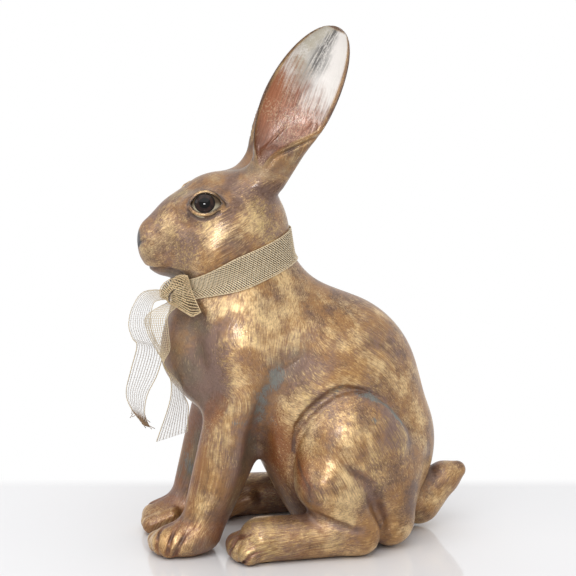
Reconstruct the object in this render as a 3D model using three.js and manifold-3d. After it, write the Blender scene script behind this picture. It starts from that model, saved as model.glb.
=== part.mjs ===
// A seated rabbit ornament: hollow and solid resin castings bonded on steel dowels, with set-in eyes,
// felt pads under its feet and a woven ribbon tied round its neck.
// Millimetres, +Z up, the nose towards -Y and the rabbit's left side towards +X.
import * as THREE from 'three';
import { mergeVertices } from 'three/addons/utils/BufferGeometryUtils.js';
import Module from 'manifold-3d';

const wasm = await Module();
wasm.setup();
const vec = (x, y, z) => new THREE.Vector3(x, y, z);

// Torso: three balls along the spine. Forward steps run towards -Y.
const HIP_RADIUS = 78;
const HIP_SUNK = 3; // what the flat base takes off the hip ball
const BACK_RADIUS = 79.5;
const BACK_FORWARD = 17;
const BACK_RISE = 43;
const CHEST_RADIUS = 52;
const CHEST_FORWARD = 70;
const CHEST_RISE = 31;
const TORSO_SLIMNESS = 0.76; // width across X as a share of the depth
const TORSO_BLEND = 8;

// Belly: drawn up behind the forelegs along two straight lines that meet in a point. These places and those
// of the creases are on the figure's left side, as steps forward and up from the hip's centre.
const BELLY_CHEST = [110, 36];
const BELLY_POINT = [73, 5];
const BELLY_FOOT = [50, -43];
const BELLY_EASE = 14;

// Creases of the sculpture: how wide each is eased, and how far its root lies below the skin, less than
// nothing where only the easing dips.
const FLANK_HOLLOW = [[40, 84], [61, 71], [72, 52], [75, 27], [75, 8]];
const FLANK_EASE = 22;
const FLANK_TOP_DEPTH = -12;
const FLANK_DEPTH = 1.5;
const FLANK_TOP = 80; // above the hip's centre, where the hollow starts to deepen
const FLANK_FULL = 20;
const CHEST_HOLLOW = [[124, 104], [118, 68], [112, 50]];
const CHEST_EASE = 30;
const CHEST_DEPTH = -4;
const CALF_CREASE = [[14, 3], [-1, -9], [-9, -20], [-15, -37], [-20, -63]];
const CALF_EASE = 9;
const CALF_DEPTH = 1;

// Neck: a cone from inside the chest up into the skull.
const NECK_BASE_RADIUS = 55.5;
const NECK_BASE_BACK = 14;
const NECK_BASE_RISE = 15;
const NECK_TOP_RADIUS = 38;
const NECK_FORWARD = 13;
const NECK_RISE = 83;
const NECK_SLIMNESS = 0.8;
const NECK_BLEND = 30;

// Head: a cone from the skull to the muzzle, with cheeks and brows on it.
const SKULL_RADIUS = 44;
const SKULL_FORWARD = 4;
const SKULL_RISE = 4;
const MUZZLE_RADIUS = 23;
const MUZZLE_FORWARD = 47;
const MUZZLE_DROP = 12;
const BRIDGE_TOP_RADIUS = 24; // nose bridge, from between the eyes down to the nose
const BRIDGE_TOP_FORWARD = 14;
const BRIDGE_TOP_RISE = 16;
const BRIDGE_END_RADIUS = 13;
const BRIDGE_END_FORWARD = 8; // from the muzzle's centre
const BRIDGE_END_RISE = 10;
const HEAD_SLIMNESS = 0.86;
const CHEEK_RADIUS = 22;
const CHEEK_SPREAD = 15;
const CHEEK_FORWARD = 16;
const CHEEK_DROP = 17;
const BROW_RADIUS = 14;
const HEAD_BLEND = 14;

// Eyes: flat-backed domes in shallow sockets, placed from the skull's centre.
const EYE_RADIUS = 9.8;
const EYE_DOME = 4.5; // how far the dome rises above its rim
const EYE_SEAT = 4; // how deep the rim sits in its socket
const EYE_FORWARD = 23;
const EYE_RISE = 24;
const EYE_INSET = 0.5; // how far the rim lies below the brow

// Ears: cupped leaves on a stem, the opening facing sideways.
const EAR_LENGTH = 124;
const EAR_HALF_WIDTH = 26.7;
const EAR_WIDEST = 0.5; // share of the length at which the ear is widest
const EAR_TIP_SWEEP = 4; // how far the tip is swept back from the ear's straight line
const EAR_BACK_BULGE = 9;
const EAR_CUP_DEPTH = 5;
const EAR_RIM = 4.5;
const EAR_SWELL = 0.62; // how quickly the ear widens above its stem, quicker when smaller
const EAR_OPENS_BY = 0.3; // share of the length at which the cup is fully open
const EAR_STEM_RADIUS = 10;
const EAR_ROOT_RADIUS = 15; // where the stem's stump grows out of the skull
const EAR_ROOT_DEPTH = 18;
const EAR_BACK = 25; // stem's foot behind the skull's centre
const EAR_RISE = 43;
const EAR_SPREAD = 19;
const EAR_LEAN_LEFT = 24.5; // degrees backwards
const EAR_LEAN_RIGHT = 34;
const EAR_SPLAY = 6; // degrees outwards
const EAR_TURN = 12; // degrees that the opening looks forward
const EAR_SEAM_HEIGHT = 7; // bonded joint above the stem's foot

// Forelegs: a cone from the shoulder to the wrist, with a paw below.
const FORELEG_SPREAD = 33;
const SHOULDER_RADIUS = 27;
const SHOULDER_BACK = 3;
const SHOULDER_DROP = 30;
const WRIST_RADIUS = 17;
const WRIST_HEIGHT = 28;
const WRIST_BEHIND_PAW = 16; // from the paw's middle
const FORELEG_SLIMNESS = 0.8;
const FORELEG_SEAM = 0.6; // bonded joint, as a share of the way down
const PAW_LENGTH = 54;
const PAW_WIDTH = 37;
const PAW_HEIGHT = 27;
const PAW_GAP = 4; // from the hind toes forward to the paw's heel
const PAW_TOE_RADIUS = 7.5;
const SHOULDER_BLEND = 11;
const BLADE_SPREAD = 25; // shoulder blade, from the chest's centre
const BLADE_BACK = 2;
const BLADE_RISE = 8;
const BLADE_WIDTH = 46;
const BLADE_LENGTH = 54;
const BLADE_HEIGHT = 88;
const BLADE_BLEND = 22;
const TOE_COUNT = 4; // on every foot
const TOE_CLEFT = 2; // fillet between neighbouring toes
const TOE_ARC = 2; // how far the outer toes are set back
const SOLE_FLAT = 2; // what the floor takes off each rounded foot

// Hind legs: thigh, shin, hamstring and a long foot.
const HAUNCH_SPREAD = 49;
const THIGH_LENGTH = 86;
const THIGH_HEIGHT = 102;
const THIGH_WIDTH = 60;
const THIGH_FORWARD = 3;
const THIGH_RISE = 6;
const FOOT_SPREAD = 58;
const FOOT_LENGTH = 118.5;
const FOOT_RADIUS = 18;
const FOOT_BEHIND_HIP = 18.5; // heel's back edge behind the hip's centre
const FOOT_BALL_BACK = 26; // from the toe tips
const HEEL_RADIUS = 16.5;
const HIND_TOE_RADIUS = 10.5;
const HIND_TOES_WIDTH = 42;
const KNEE_FORWARD = 21; // from the thigh's middle
const KNEE_DROP = 22;
const SHIN_RADIUS = 24;
const ANKLE_RADIUS = 18;
const ANKLE_RISE = 4; // above the heel's centre
const HAMSTRING_RADIUS = 23;
const HAMSTRING_SPREAD = 47;
const HAMSTRING_BACK = 25; // from the thigh's middle
const HAMSTRING_RISE = 6;
const HAMSTRING_END_RADIUS = 20;
const HAMSTRING_END_SPREAD = 43; // tucked in behind the heel
const HAMSTRING_LEAN = 9; // lower end further back
const HAMSTRING_BLEND = 6;
const HAUNCH_BLEND = 9;

// Tail: an upturned cone behind the hip.
const TAIL_BASE_RADIUS = 19;
const TAIL_TIP_RADIUS = 8.5;
const TAIL_BEHIND = 66;
const TAIL_BASE_HEIGHT = 16;
const TAIL_BACK = 34;
const TAIL_RISE = 27;

// Bonded joints, walls and hardware.
const WALL = 5; // hollow castings
const NECK_FLOOR = 12; // solid resin under the neck joint
const SEAM_GAP = 0.4; // glue line between castings
const FIT = 0.3; // clearance round dowels, eyes, pads and the plug
const DOWEL_RADIUS = 2.5;
const DOWEL_LENGTH = 28;
const SIDE_DOWEL_LENGTH = 16; // through the torso's wall into the thigh
const DOWEL_IN_WALL = 4; // how far a dowel reaches into the torso's wall
const EAR_DOWEL_IN_HEAD = 18;
const NECK_DOWEL_SPREAD = 20;
const POUR_HOLE_RADIUS = 11;
const PLUG_DEPTH = 9;
const PLUG_FLANGE = 3; // flange beyond the hole's wall
const PLUG_FLANGE_HEIGHT = 2;
const PAD_RADIUS = 8;
const PAD_THICKNESS = 1.6;
const PAD_PROUD = 0.6; // how far the soles stand off the floor on their pads

// Ribbon: one woven strip, as a collar, a knot and two hanging ends.
const RIBBON_WIDTH = 25;
const RIBBON_THICKNESS = 0.8;
const RIBBON_GAP = 0.6; // between the ribbon and the resin
const COLLAR_RISE = 59; // collar's centre above the neck's base
const COLLAR_TILT = 20; // degrees, higher at the nape
const COLLAR_GATHER = 0.6; // width at the knot, as a share of the ribbon's width
const KNOT_LENGTH = 30;
const KNOT_THICKNESS = 11;
const KNOT_ROUND = 4.5; // radius of its folded edges
const KNOT_AHEAD = 4.9; // knot's centre from the collar's front
const KNOT_DROP = 3;
const KNOT_ROUND_NECK = 22; // degrees from the front towards the rabbit's left
const KNOT_TURN = 50; // degrees that the knot's face turns to the left side
const KNOT_LEAN = 28; // degrees that the knot's lower end swings back

// Mesh sizes: the side of a grid cell for each form.
const BODY_CELL = 9.5;
const HEAD_CELL = 7.6;
const LIMB_CELL = 6.2;
const HAUNCH_CELL = 7.5;
const CAVITY_CELL = 15;
const KNOT_CELL = 5;
const ROUND_SIDES = 16;

// Fields: functions of x, y, z that are negative inside a form, zero on its surface, and grow outwards by
// about one millimetre a millimetre.
const ball = (c, radius) => (x, y, z) => Math.hypot(x - c.x, y - c.y, z - c.z) - radius;

const egg = (c, rx, ry, rz) => (x, y, z) => {
  const near = Math.hypot((x - c.x) / rx, (y - c.y) / ry, (z - c.z) / rz);
  const slope = Math.hypot((x - c.x) / rx ** 2, (y - c.y) / ry ** 2, (z - c.z) / rz ** 2);
  return slope === 0 ? -Math.min(rx, ry, rz) : (near * (near - 1)) / slope;
};

// A cone with a ball at each end.
function limb(a, radiusA, b, radiusB) {
  const axis = b.clone().sub(a);
  const length = axis.length();
  axis.normalize();
  const taper = Math.min(0.99, Math.max(-0.99, (radiusA - radiusB) / length));
  const slant = Math.sqrt(1 - taper * taper);
  return (x, y, z) => {
    const dx = x - a.x;
    const dy = y - a.y;
    const dz = z - a.z;
    const along = dx * axis.x + dy * axis.y + dz * axis.z;
    const out = Math.sqrt(Math.max(0, dx * dx + dy * dy + dz * dz - along * along));
    const foot = along + (out * -taper) / slant;
    if (foot <= 0) return Math.hypot(out, along) - radiusA;
    if (foot >= length) return Math.hypot(out, along - length) - radiusB;
    return out * slant + along * taper - radiusA;
  };
}

// A box with rounded edges, in the frame of a matrix.
function roundedBox(matrix, halfX, halfY, halfZ, round) {
  const inverse = matrix.clone().invert();
  const p = vec(0, 0, 0);
  return (x, y, z) => {
    p.set(x, y, z).applyMatrix4(inverse);
    const qx = Math.abs(p.x) - halfX + round;
    const qy = Math.abs(p.y) - halfY + round;
    const qz = Math.abs(p.z) - halfZ + round;
    const outside = Math.hypot(Math.max(qx, 0), Math.max(qy, 0), Math.max(qz, 0));
    return outside + Math.min(Math.max(qx, qy, qz), 0) - round;
  };
}

function eased(reach, a, b) {
  const h = Math.max(reach - Math.abs(a - b), 0) / reach;
  return Math.min(a, b) - (h * h * reach) / 4;
}

// Forms joined with a fillet of about the given reach, and a form without a tool's form, eased as well.
const blend = (reach, ...fields) => (x, y, z) =>
  fields.map((field) => field(x, y, z)).reduce((a, b) => eased(reach, a, b));
const carve = (reach, field, tool) => (x, y, z) => -eased(reach, -field(x, y, z), tool(x, y, z));

const slim = (field, share, middle = 0) => (x, y, z) =>
  field(middle + (x - middle) / share, y, z) * share;
const bothSides = (field) => (x, y, z) => field(Math.abs(x), y, z);
const grown = (field, by) => (x, y, z) => field(x, y, z) - by;

// The point at which a ray first leaves a form: marched in short steps, then found by halving.
function wayOut(field, from, direction) {
  const p = vec(0, 0, 0);
  const march = 2;
  let outside = 0;
  do {
    outside += march;
    p.copy(from).addScaledVector(direction, outside);
  } while (field(p.x, p.y, p.z) < 0);
  let inside = outside - march;
  for (let i = 0; i < 24; i += 1) {
    const middle = (inside + outside) / 2;
    p.copy(from).addScaledVector(direction, middle);
    if (field(p.x, p.y, p.z) < 0) inside = middle;
    else outside = middle;
  }
  return from.clone().addScaledVector(direction, outside);
}

// A place on the left skin of a form, or on the middle plane where the form doesn't reach.
function onSkin(field, [forward, up]) {
  const outside = vec(2 * HIP_RADIUS, hip.y - forward, hip.z + up);
  const air = (x, y, z) => (x > 0 ? -field(x, y, z) : 1);
  return wayOut(air, outside, LEFT.clone().negate());
}

// Distance from a broken line laid on the left skin of a form.
function awayFrom(field, steps) {
  const places = steps.map((step) => onSkin(field, step));
  const stretches = places.slice(1).map((place, i) => new THREE.Line3(places[i], place));
  const p = vec(0, 0, 0);
  const nearest = vec(0, 0, 0);
  return (x, y, z) => {
    p.set(x, y, z);
    const away = stretches.map((stretch) => stretch.closestPointToPoint(p, true, nearest).distanceTo(p));
    return Math.min(...away);
  };
}

// How far a point lies ahead of and below a line between two places.
function aheadOf([forwardA, upA], [forwardB, upB]) {
  const run = Math.hypot(forwardB - forwardA, upB - upA);
  return (x, y, z) => {
    const forward = hip.y - y - forwardA;
    const up = z - hip.z - upA;
    return (up * (forwardB - forwardA) - forward * (upB - upA)) / run;
  };
}

function slopeOf(field, p) {
  const step = 0.5;
  return vec(
    field(p.x + step, p.y, p.z) - field(p.x - step, p.y, p.z),
    field(p.x, p.y + step, p.z) - field(p.x, p.y - step, p.z),
    field(p.x, p.y, p.z + step) - field(p.x, p.y, p.z - step),
  ).normalize();
}

// Solids: closed meshes that can be joined and cut.
function solidOf(geometry) {
  const bare = new THREE.BufferGeometry();
  bare.setAttribute('position', geometry.getAttribute('position'));
  if (geometry.index) bare.setIndex(geometry.index);
  const merged = mergeVertices(bare, 1e-4);
  const corners = merged.index.array;
  const triangles = [];
  for (let i = 0; i < corners.length; i += 3) {
    const [a, b, c] = [corners[i], corners[i + 1], corners[i + 2]];
    if (a !== b && b !== c && c !== a) triangles.push(a, b, c);
  }
  return new wasm.Manifold(new wasm.Mesh({
    numProp: 3,
    vertProperties: new Float32Array(merged.attributes.position.array),
    triVerts: new Uint32Array(triangles),
  }));
}

function geometryOf(solid) {
  const mesh = solid.getMesh();
  const geometry = new THREE.BufferGeometry();
  geometry.setAttribute('position', new THREE.BufferAttribute(mesh.vertProperties, 3));
  geometry.setIndex(new THREE.BufferAttribute(mesh.triVerts, 1));
  geometry.computeVertexNormals();
  return geometry;
}

const largest = (solid) => solid.decompose().reduce((a, b) => (b.volume() > a.volume() ? b : a));
const keepAbove = (solid, normal, point) => solid.trimByPlane(normal.toArray(), normal.dot(point));
const keepBelow = (solid, normal, point) => keepAbove(solid, normal.clone().negate(), point);

function mirrored(geometry) {
  const copy = geometry.clone().scale(-1, 1, 1);
  const corners = copy.index.array;
  for (let i = 0; i < corners.length; i += 3) {
    [corners[i + 1], corners[i + 2]] = [corners[i + 2], corners[i + 1]];
  }
  copy.computeVertexNormals();
  return copy;
}

function boxAround(...spheres) {
  const box = new THREE.Box3();
  for (const [centre, radius] of spheres) {
    box.expandByPoint(centre.clone().addScalar(radius));
    box.expandByPoint(centre.clone().addScalar(-radius));
  }
  return box;
}

// The surface of a field as a closed mesh, by surface nets: a vertex in each grid cell that the surface
// crosses, and two triangles for each grid edge that it crosses.
function surfaceOf(field, box, cell) {
  const count = box.getSize(vec(0, 0, 0)).toArray().map((side) => Math.ceil(side / cell) + 4);
  const span = vec(...count).addScalar(-1).multiplyScalar(cell);
  const low = box.getCenter(vec(0, 0, 0)).addScaledVector(span, -0.5);
  const stride = [1, count[0], count[0] * count[1]];
  const values = new Float64Array(count[0] * count[1] * count[2]);
  for (let k = 0, n = 0; k < count[2]; k += 1) {
    for (let j = 0; j < count[1]; j += 1) {
      for (let i = 0; i < count[0]; i += 1, n += 1) {
        values[n] = field(low.x + i * cell, low.y + j * cell, low.z + k * cell);
      }
    }
  }
  const corner = [0, 1, 2, 3, 4, 5, 6, 7].map((c) => [c & 1, (c >> 1) & 1, c >> 2]);
  const offset = corner.map(([i, j, k]) => i * stride[0] + j * stride[1] + k * stride[2]);
  const vertexAt = new Int32Array(values.length).fill(-1);
  const positions = [];
  for (let k = 0; k < count[2] - 1; k += 1) {
    for (let j = 0; j < count[1] - 1; j += 1) {
      for (let i = 0; i < count[0] - 1; i += 1) {
        const n = i + j * stride[1] + k * stride[2];
        const sum = [0, 0, 0];
        let crossings = 0;
        for (let c = 0; c < 8; c += 1) {
          for (let axis = 0; axis < 3; axis += 1) {
            if (corner[c][axis]) continue;
            const a = values[n + offset[c]];
            const b = values[n + offset[c] + stride[axis]];
            if (a < 0 === b < 0) continue;
            crossings += 1;
            for (let d = 0; d < 3; d += 1) sum[d] += corner[c][d] + (d === axis ? a / (a - b) : 0);
          }
        }
        if (!crossings) continue;
        vertexAt[n] = positions.length / 3;
        positions.push(
          low.x + (i + sum[0] / crossings) * cell,
          low.y + (j + sum[1] / crossings) * cell,
          low.z + (k + sum[2] / crossings) * cell,
        );
      }
    }
  }
  const triangles = [];
  const at = (vertex) => vec(...positions.slice(3 * vertex, 3 * vertex + 3));
  const apart = (a, b) => at(a).distanceTo(at(b));
  for (let n = 0; n < values.length; n += 1) {
    for (let axis = 0; axis < 3; axis += 1) {
      const index = Math.floor(n / stride[axis]) % count[axis];
      if (index === count[axis] - 1 || values[n] < 0 === values[n + stride[axis]] < 0) continue;
      const [u, v] = [stride[(axis + 1) % 3], stride[(axis + 2) % 3]];
      const ring = [n, n - u, n - u - v, n - v].map((cellIndex) => vertexAt[cellIndex]);
      const [a, b, c, d] = values[n] < 0 ? ring : ring.reverse();
      if (apart(a, c) < apart(b, d)) triangles.push(a, b, c, a, c, d);
      else triangles.push(a, b, d, b, c, d);
    }
  }
  const geometry = new THREE.BufferGeometry();
  geometry.setAttribute('position', new THREE.Float32BufferAttribute(positions, 3));
  geometry.setIndex(triangles);
  return geometry;
}

const formOf = (field, box, cell) => solidOf(surfaceOf(field, box, cell));

// Round bars and bores, along a direction from a middle point.
function barGeometry(radius, length, middle, direction) {
  const turn = new THREE.Quaternion().setFromUnitVectors(vec(0, 1, 0), direction);
  const place = new THREE.Matrix4().compose(middle, turn, vec(1, 1, 1));
  return new THREE.CylinderGeometry(radius, radius, length, ROUND_SIDES).applyMatrix4(place);
}

const dowelAt = (middle, direction, length = DOWEL_LENGTH) =>
  barGeometry(DOWEL_RADIUS, length, middle, direction);
const dowelBore = (middle, direction, length = DOWEL_LENGTH) =>
  solidOf(barGeometry(DOWEL_RADIUS + FIT, length + 2 * FIT, middle, direction));

// Landmarks of the sculpted form, from the hip's centre outwards.
const UP = vec(0, 0, 1);
const LEFT = vec(1, 0, 0);
const FORWARD = vec(0, -1, 0);
const BACKWARD = vec(0, 1, 0);
const hip = vec(0, 0, PAD_PROUD + HIP_RADIUS - HIP_SUNK);
const back = hip.clone().add(vec(0, -BACK_FORWARD, BACK_RISE));
const chest = back.clone().add(vec(0, -CHEST_FORWARD, CHEST_RISE));
const neckBase = chest.clone().add(vec(0, NECK_BASE_BACK, NECK_BASE_RISE));
const neckTop = neckBase.clone().add(vec(0, -NECK_FORWARD, NECK_RISE));
const skull = neckTop.clone().add(vec(0, -SKULL_FORWARD, SKULL_RISE));
const muzzle = skull.clone().add(vec(0, -MUZZLE_FORWARD, -MUZZLE_DROP));
const soleHeight = PAD_PROUD;
const heel = vec(FOOT_SPREAD, hip.y + FOOT_BEHIND_HIP - HEEL_RADIUS, soleHeight + FOOT_RADIUS - SOLE_FLAT);
const toeTip = hip.y + FOOT_BEHIND_HIP - FOOT_LENGTH;
const toes = vec(FOOT_SPREAD, toeTip, soleHeight + HIND_TOE_RADIUS - SOLE_FLAT);
const paw = vec(FORELEG_SPREAD, toes.y - PAW_GAP - PAW_LENGTH / 2, soleHeight + PAW_HEIGHT / 2 - SOLE_FLAT);
const shoulder = chest.clone().add(vec(FORELEG_SPREAD, SHOULDER_BACK, -SHOULDER_DROP));
const wrist = vec(FORELEG_SPREAD, paw.y + WRIST_BEHIND_PAW, soleHeight + WRIST_HEIGHT);
const footBall = vec(FOOT_SPREAD, toes.y + FOOT_BALL_BACK, soleHeight + FOOT_RADIUS - SOLE_FLAT);
const blade = chest.clone().add(vec(BLADE_SPREAD, BLADE_BACK, BLADE_RISE));
const haunchMiddle = hip.clone().add(vec(0, -THIGH_FORWARD, THIGH_RISE));
const thigh = vec(HAUNCH_SPREAD, haunchMiddle.y, haunchMiddle.z);
const knee = vec(FOOT_SPREAD, thigh.y - KNEE_FORWARD, thigh.z - KNEE_DROP);
const ankle = heel.clone().addScaledVector(UP, ANKLE_RISE);
const hamstringTop = vec(HAMSTRING_SPREAD, thigh.y + HAMSTRING_BACK, thigh.z + HAMSTRING_RISE);
const hamstringEnd = vec(HAMSTRING_END_SPREAD, hamstringTop.y + HAMSTRING_LEAN, ankle.z);
const tailBase = hip.clone().add(vec(0, TAIL_BEHIND, soleHeight + TAIL_BASE_HEIGHT - hip.z));
const tailTip = tailBase.clone().add(vec(0, TAIL_BACK, TAIL_RISE));

// Collar and neck joint lie in one tilted plane across the neck.
const collarMiddle = neckBase.clone().lerp(neckTop, COLLAR_RISE / NECK_RISE);
const neckNormal = vec(0, 0, 1).applyAxisAngle(LEFT, THREE.MathUtils.degToRad(COLLAR_TILT));
const neckFront = FORWARD.clone().projectOnPlane(neckNormal).normalize();
const alongNeck = (distance) => collarMiddle.clone().addScaledVector(neckNormal, distance);
const roundNeck = (angle) =>
  neckFront.clone().multiplyScalar(Math.cos(angle)).addScaledVector(LEFT, Math.sin(angle));

// Body casting: torso, neck stump and upper forelegs, hollow, with a pour hole in its flat base.
const torsoForm = slim(
  blend(TORSO_BLEND, limb(chest, CHEST_RADIUS, back, BACK_RADIUS), limb(back, BACK_RADIUS, hip, HIP_RADIUS)),
  TORSO_SLIMNESS,
);
const neckForm = slim(limb(neckBase, NECK_BASE_RADIUS, neckTop, NECK_TOP_RADIUS), NECK_SLIMNESS);
const forelegForm = slim(
  limb(shoulder, SHOULDER_RADIUS, wrist, WRIST_RADIUS),
  FORELEG_SLIMNESS,
  FORELEG_SPREAD,
);
const belowChest = aheadOf(BELLY_CHEST, BELLY_POINT);
const beforeBelly = aheadOf(BELLY_POINT, BELLY_FOOT);
const bellySpace = (x, y, z) => -Math.min(belowChest(x, y, z), beforeBelly(x, y, z));
const trunkForm = blend(NECK_BLEND, carve(BELLY_EASE, torsoForm, bellySpace), neckForm);
const bladeForm = egg(blade, BLADE_WIDTH / 2, BLADE_LENGTH / 2, BLADE_HEIGHT / 2);
const shoulderedForm = blend(
  SHOULDER_BLEND,
  blend(BLADE_BLEND, trunkForm, bothSides(bladeForm)),
  bothSides(forelegForm),
);
const legForm = blend(
  HAMSTRING_BLEND,
  blend(
    HAUNCH_BLEND,
    egg(thigh, THIGH_WIDTH / 2, THIGH_LENGTH / 2, THIGH_HEIGHT / 2),
    limb(knee, SHIN_RADIUS, ankle, ANKLE_RADIUS),
    limb(heel, HEEL_RADIUS, footBall, FOOT_RADIUS),
  ),
  limb(hamstringTop, HAMSTRING_RADIUS, hamstringEnd, HAMSTRING_END_RADIUS),
);

// The body's hollows: one behind the shoulder that deepens downwards, and one beside the breast.
const awayFromFlank = awayFrom(shoulderedForm, FLANK_HOLLOW);
const flankTool = (x, y, z) => {
  const deepening = THREE.MathUtils.smoothstep(hip.z + FLANK_TOP - z, 0, FLANK_TOP - FLANK_FULL);
  return awayFromFlank(x, y, z) - THREE.MathUtils.lerp(FLANK_TOP_DEPTH, FLANK_DEPTH, deepening);
};
const chestTool = grown(awayFrom(shoulderedForm, CHEST_HOLLOW), CHEST_DEPTH);
const bodyForm = carve(
  CHEST_EASE,
  carve(FLANK_EASE, shoulderedForm, bothSides(flankTool)),
  bothSides(chestTool),
);
const bodyBox = boxAround(
  [hip, HIP_RADIUS],
  [back, BACK_RADIUS],
  [chest, CHEST_RADIUS + SHOULDER_BLEND / 2],
  [neckBase, NECK_BASE_RADIUS + NECK_BLEND / 2],
  [neckTop, NECK_TOP_RADIUS],
  [wrist, WRIST_RADIUS],
  [wrist.clone().multiply(vec(-1, 1, 1)), WRIST_RADIUS],
);
const bodyGrown = formOf(grown(bodyForm, SEAM_GAP), bodyBox, BODY_CELL);

const forelegAxis = shoulder.clone().sub(wrist).normalize();
const forelegSeam = shoulder.clone().lerp(wrist, FORELEG_SEAM);
const baseMiddle = vec(hip.x, hip.y, soleHeight);

function forelegRoom(side) {
  const length = 2 * forelegSeam.distanceTo(wrist) + PAW_LENGTH;
  const width = SHOULDER_RADIUS + WRIST_RADIUS;
  const depth = 1.5 * width; // takes in the web behind the leg
  const axis = vec(side * forelegAxis.x, forelegAxis.y, forelegAxis.z);
  const top = vec(side * forelegSeam.x, forelegSeam.y, forelegSeam.z).addScaledVector(axis, SEAM_GAP / 2);
  const turn = new THREE.Quaternion().setFromUnitVectors(UP, axis);
  const place = new THREE.Matrix4().compose(top.addScaledVector(axis, -length / 2), turn, vec(1, 1, 1));
  return solidOf(new THREE.BoxGeometry(width, depth, length).applyMatrix4(place));
}

function plugProfile(clearance) {
  const stem = POUR_HOLE_RADIUS - FIT + clearance;
  const flange = stem + PLUG_FLANGE;
  return [
    new THREE.Vector2(0, -clearance),
    new THREE.Vector2(flange, -clearance),
    new THREE.Vector2(flange, PLUG_FLANGE_HEIGHT + clearance),
    new THREE.Vector2(stem, PLUG_FLANGE_HEIGHT + clearance),
    new THREE.Vector2(stem, PLUG_DEPTH + clearance),
    new THREE.Vector2(0, PLUG_DEPTH + clearance),
  ];
}

const plugPlace = new THREE.Matrix4()
  .makeTranslation(baseMiddle.x, baseMiddle.y, baseMiddle.z + PAD_THICKNESS - PAD_PROUD + FIT)
  .multiply(new THREE.Matrix4().makeRotationX(Math.PI / 2));
const plugTurned = (clearance) =>
  new THREE.LatheGeometry(plugProfile(clearance), ROUND_SIDES).applyMatrix4(plugPlace);

const padGeometry = (sole, clearance = 0, radius = PAD_RADIUS) =>
  barGeometry(
    radius + clearance,
    PAD_THICKNESS + 2 * clearance,
    vec(sole.x, sole.y, soleHeight - PAD_PROUD + PAD_THICKNESS / 2),
    UP,
  );
const RUMP_PAD_RADIUS = POUR_HOLE_RADIUS + PLUG_FLANGE + FIT;

function neckDowel(side) {
  return alongNeck(0).addScaledVector(LEFT, side * NECK_DOWEL_SPREAD);
}

// A dowel between the torso's side and the haunch, square to the torso's skin.
const haunchJoint = wayOut(torsoForm, haunchMiddle, LEFT);
const haunchDowelMiddle = haunchJoint.clone().addScaledVector(LEFT, SIDE_DOWEL_LENGTH / 2 - DOWEL_IN_WALL);
const tailJoint = wayOut(bodyForm, vec(0, hip.y, tailBase.z), BACKWARD);
const tailDowelMiddle = tailJoint.clone().addScaledVector(BACKWARD, DOWEL_LENGTH / 2 - DOWEL_IN_WALL);

function bodyCasting() {
  const cavity = keepBelow(
    keepAbove(
      formOf((x, y, z) => Math.max(torsoForm(x, y, z), bodyForm(x, y, z)) + WALL, bodyBox, CAVITY_CELL),
      UP,
      baseMiddle.clone().addScaledVector(UP, WALL + PLUG_FLANGE_HEIGHT),
    ),
    neckNormal,
    alongNeck(-NECK_FLOOR),
  );
  let body = keepAbove(formOf(bodyForm, bodyBox, BODY_CELL), UP, baseMiddle);
  body = keepBelow(body, neckNormal, alongNeck(-SEAM_GAP / 2));
  const tools = [
    cavity,
    forelegRoom(1),
    forelegRoom(-1),
    solidOf(plugTurned(FIT)),
    solidOf(barGeometry(POUR_HOLE_RADIUS, 4 * WALL, baseMiddle.clone().addScaledVector(UP, 3 * WALL), UP)),
    solidOf(padGeometry(baseMiddle, FIT, RUMP_PAD_RADIUS)),
    dowelBore(tailDowelMiddle, BACKWARD),
  ];
  for (const side of [1, -1]) {
    const across = vec(side, 1, 1);
    tools.push(dowelBore(neckDowel(side), neckNormal));
    tools.push(dowelBore(forelegSeam.clone().multiply(across), forelegAxis.clone().multiply(across)));
    tools.push(dowelBore(haunchDowelMiddle.clone().multiply(across), LEFT, SIDE_DOWEL_LENGTH));
  }
  return largest(tools.reduce((solid, tool) => solid.subtract(tool), body));
}

// Forelegs: solid castings with four toes, bonded under the upper forelegs.
function toesOf(tip, width, radius) {
  const outermost = width / 2 - radius;
  const middle = tip.clone().addScaledVector(BACKWARD, radius);
  const balls = Array.from({ length: TOE_COUNT }, (_, i) => {
    const side = (2 * i) / (TOE_COUNT - 1) - 1;
    return ball(middle.clone().add(vec(side * outermost, side * side * TOE_ARC, 0)), radius);
  });
  return blend(TOE_CLEFT, ...balls);
}

function forelegCasting() {
  const pawTip = vec(paw.x, paw.y - PAW_LENGTH / 2, soleHeight + PAW_TOE_RADIUS);
  const form = blend(
    PAW_TOE_RADIUS,
    forelegForm,
    egg(paw, PAW_WIDTH / 2, PAW_LENGTH / 2, PAW_HEIGHT / 2),
    toesOf(pawTip, PAW_WIDTH, PAW_TOE_RADIUS),
  );
  const box = boxAround([shoulder, SHOULDER_RADIUS], [wrist, WRIST_RADIUS], [paw, PAW_LENGTH / 2]);
  let leg = keepAbove(formOf(form, box, LIMB_CELL), UP, vec(0, 0, soleHeight));
  leg = keepBelow(leg, forelegAxis, forelegSeam.clone().addScaledVector(forelegAxis, -SEAM_GAP / 2));
  leg = leg.subtract(dowelBore(forelegSeam, forelegAxis));
  return largest(leg.subtract(solidOf(padGeometry(paw, FIT))));
}

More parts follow.
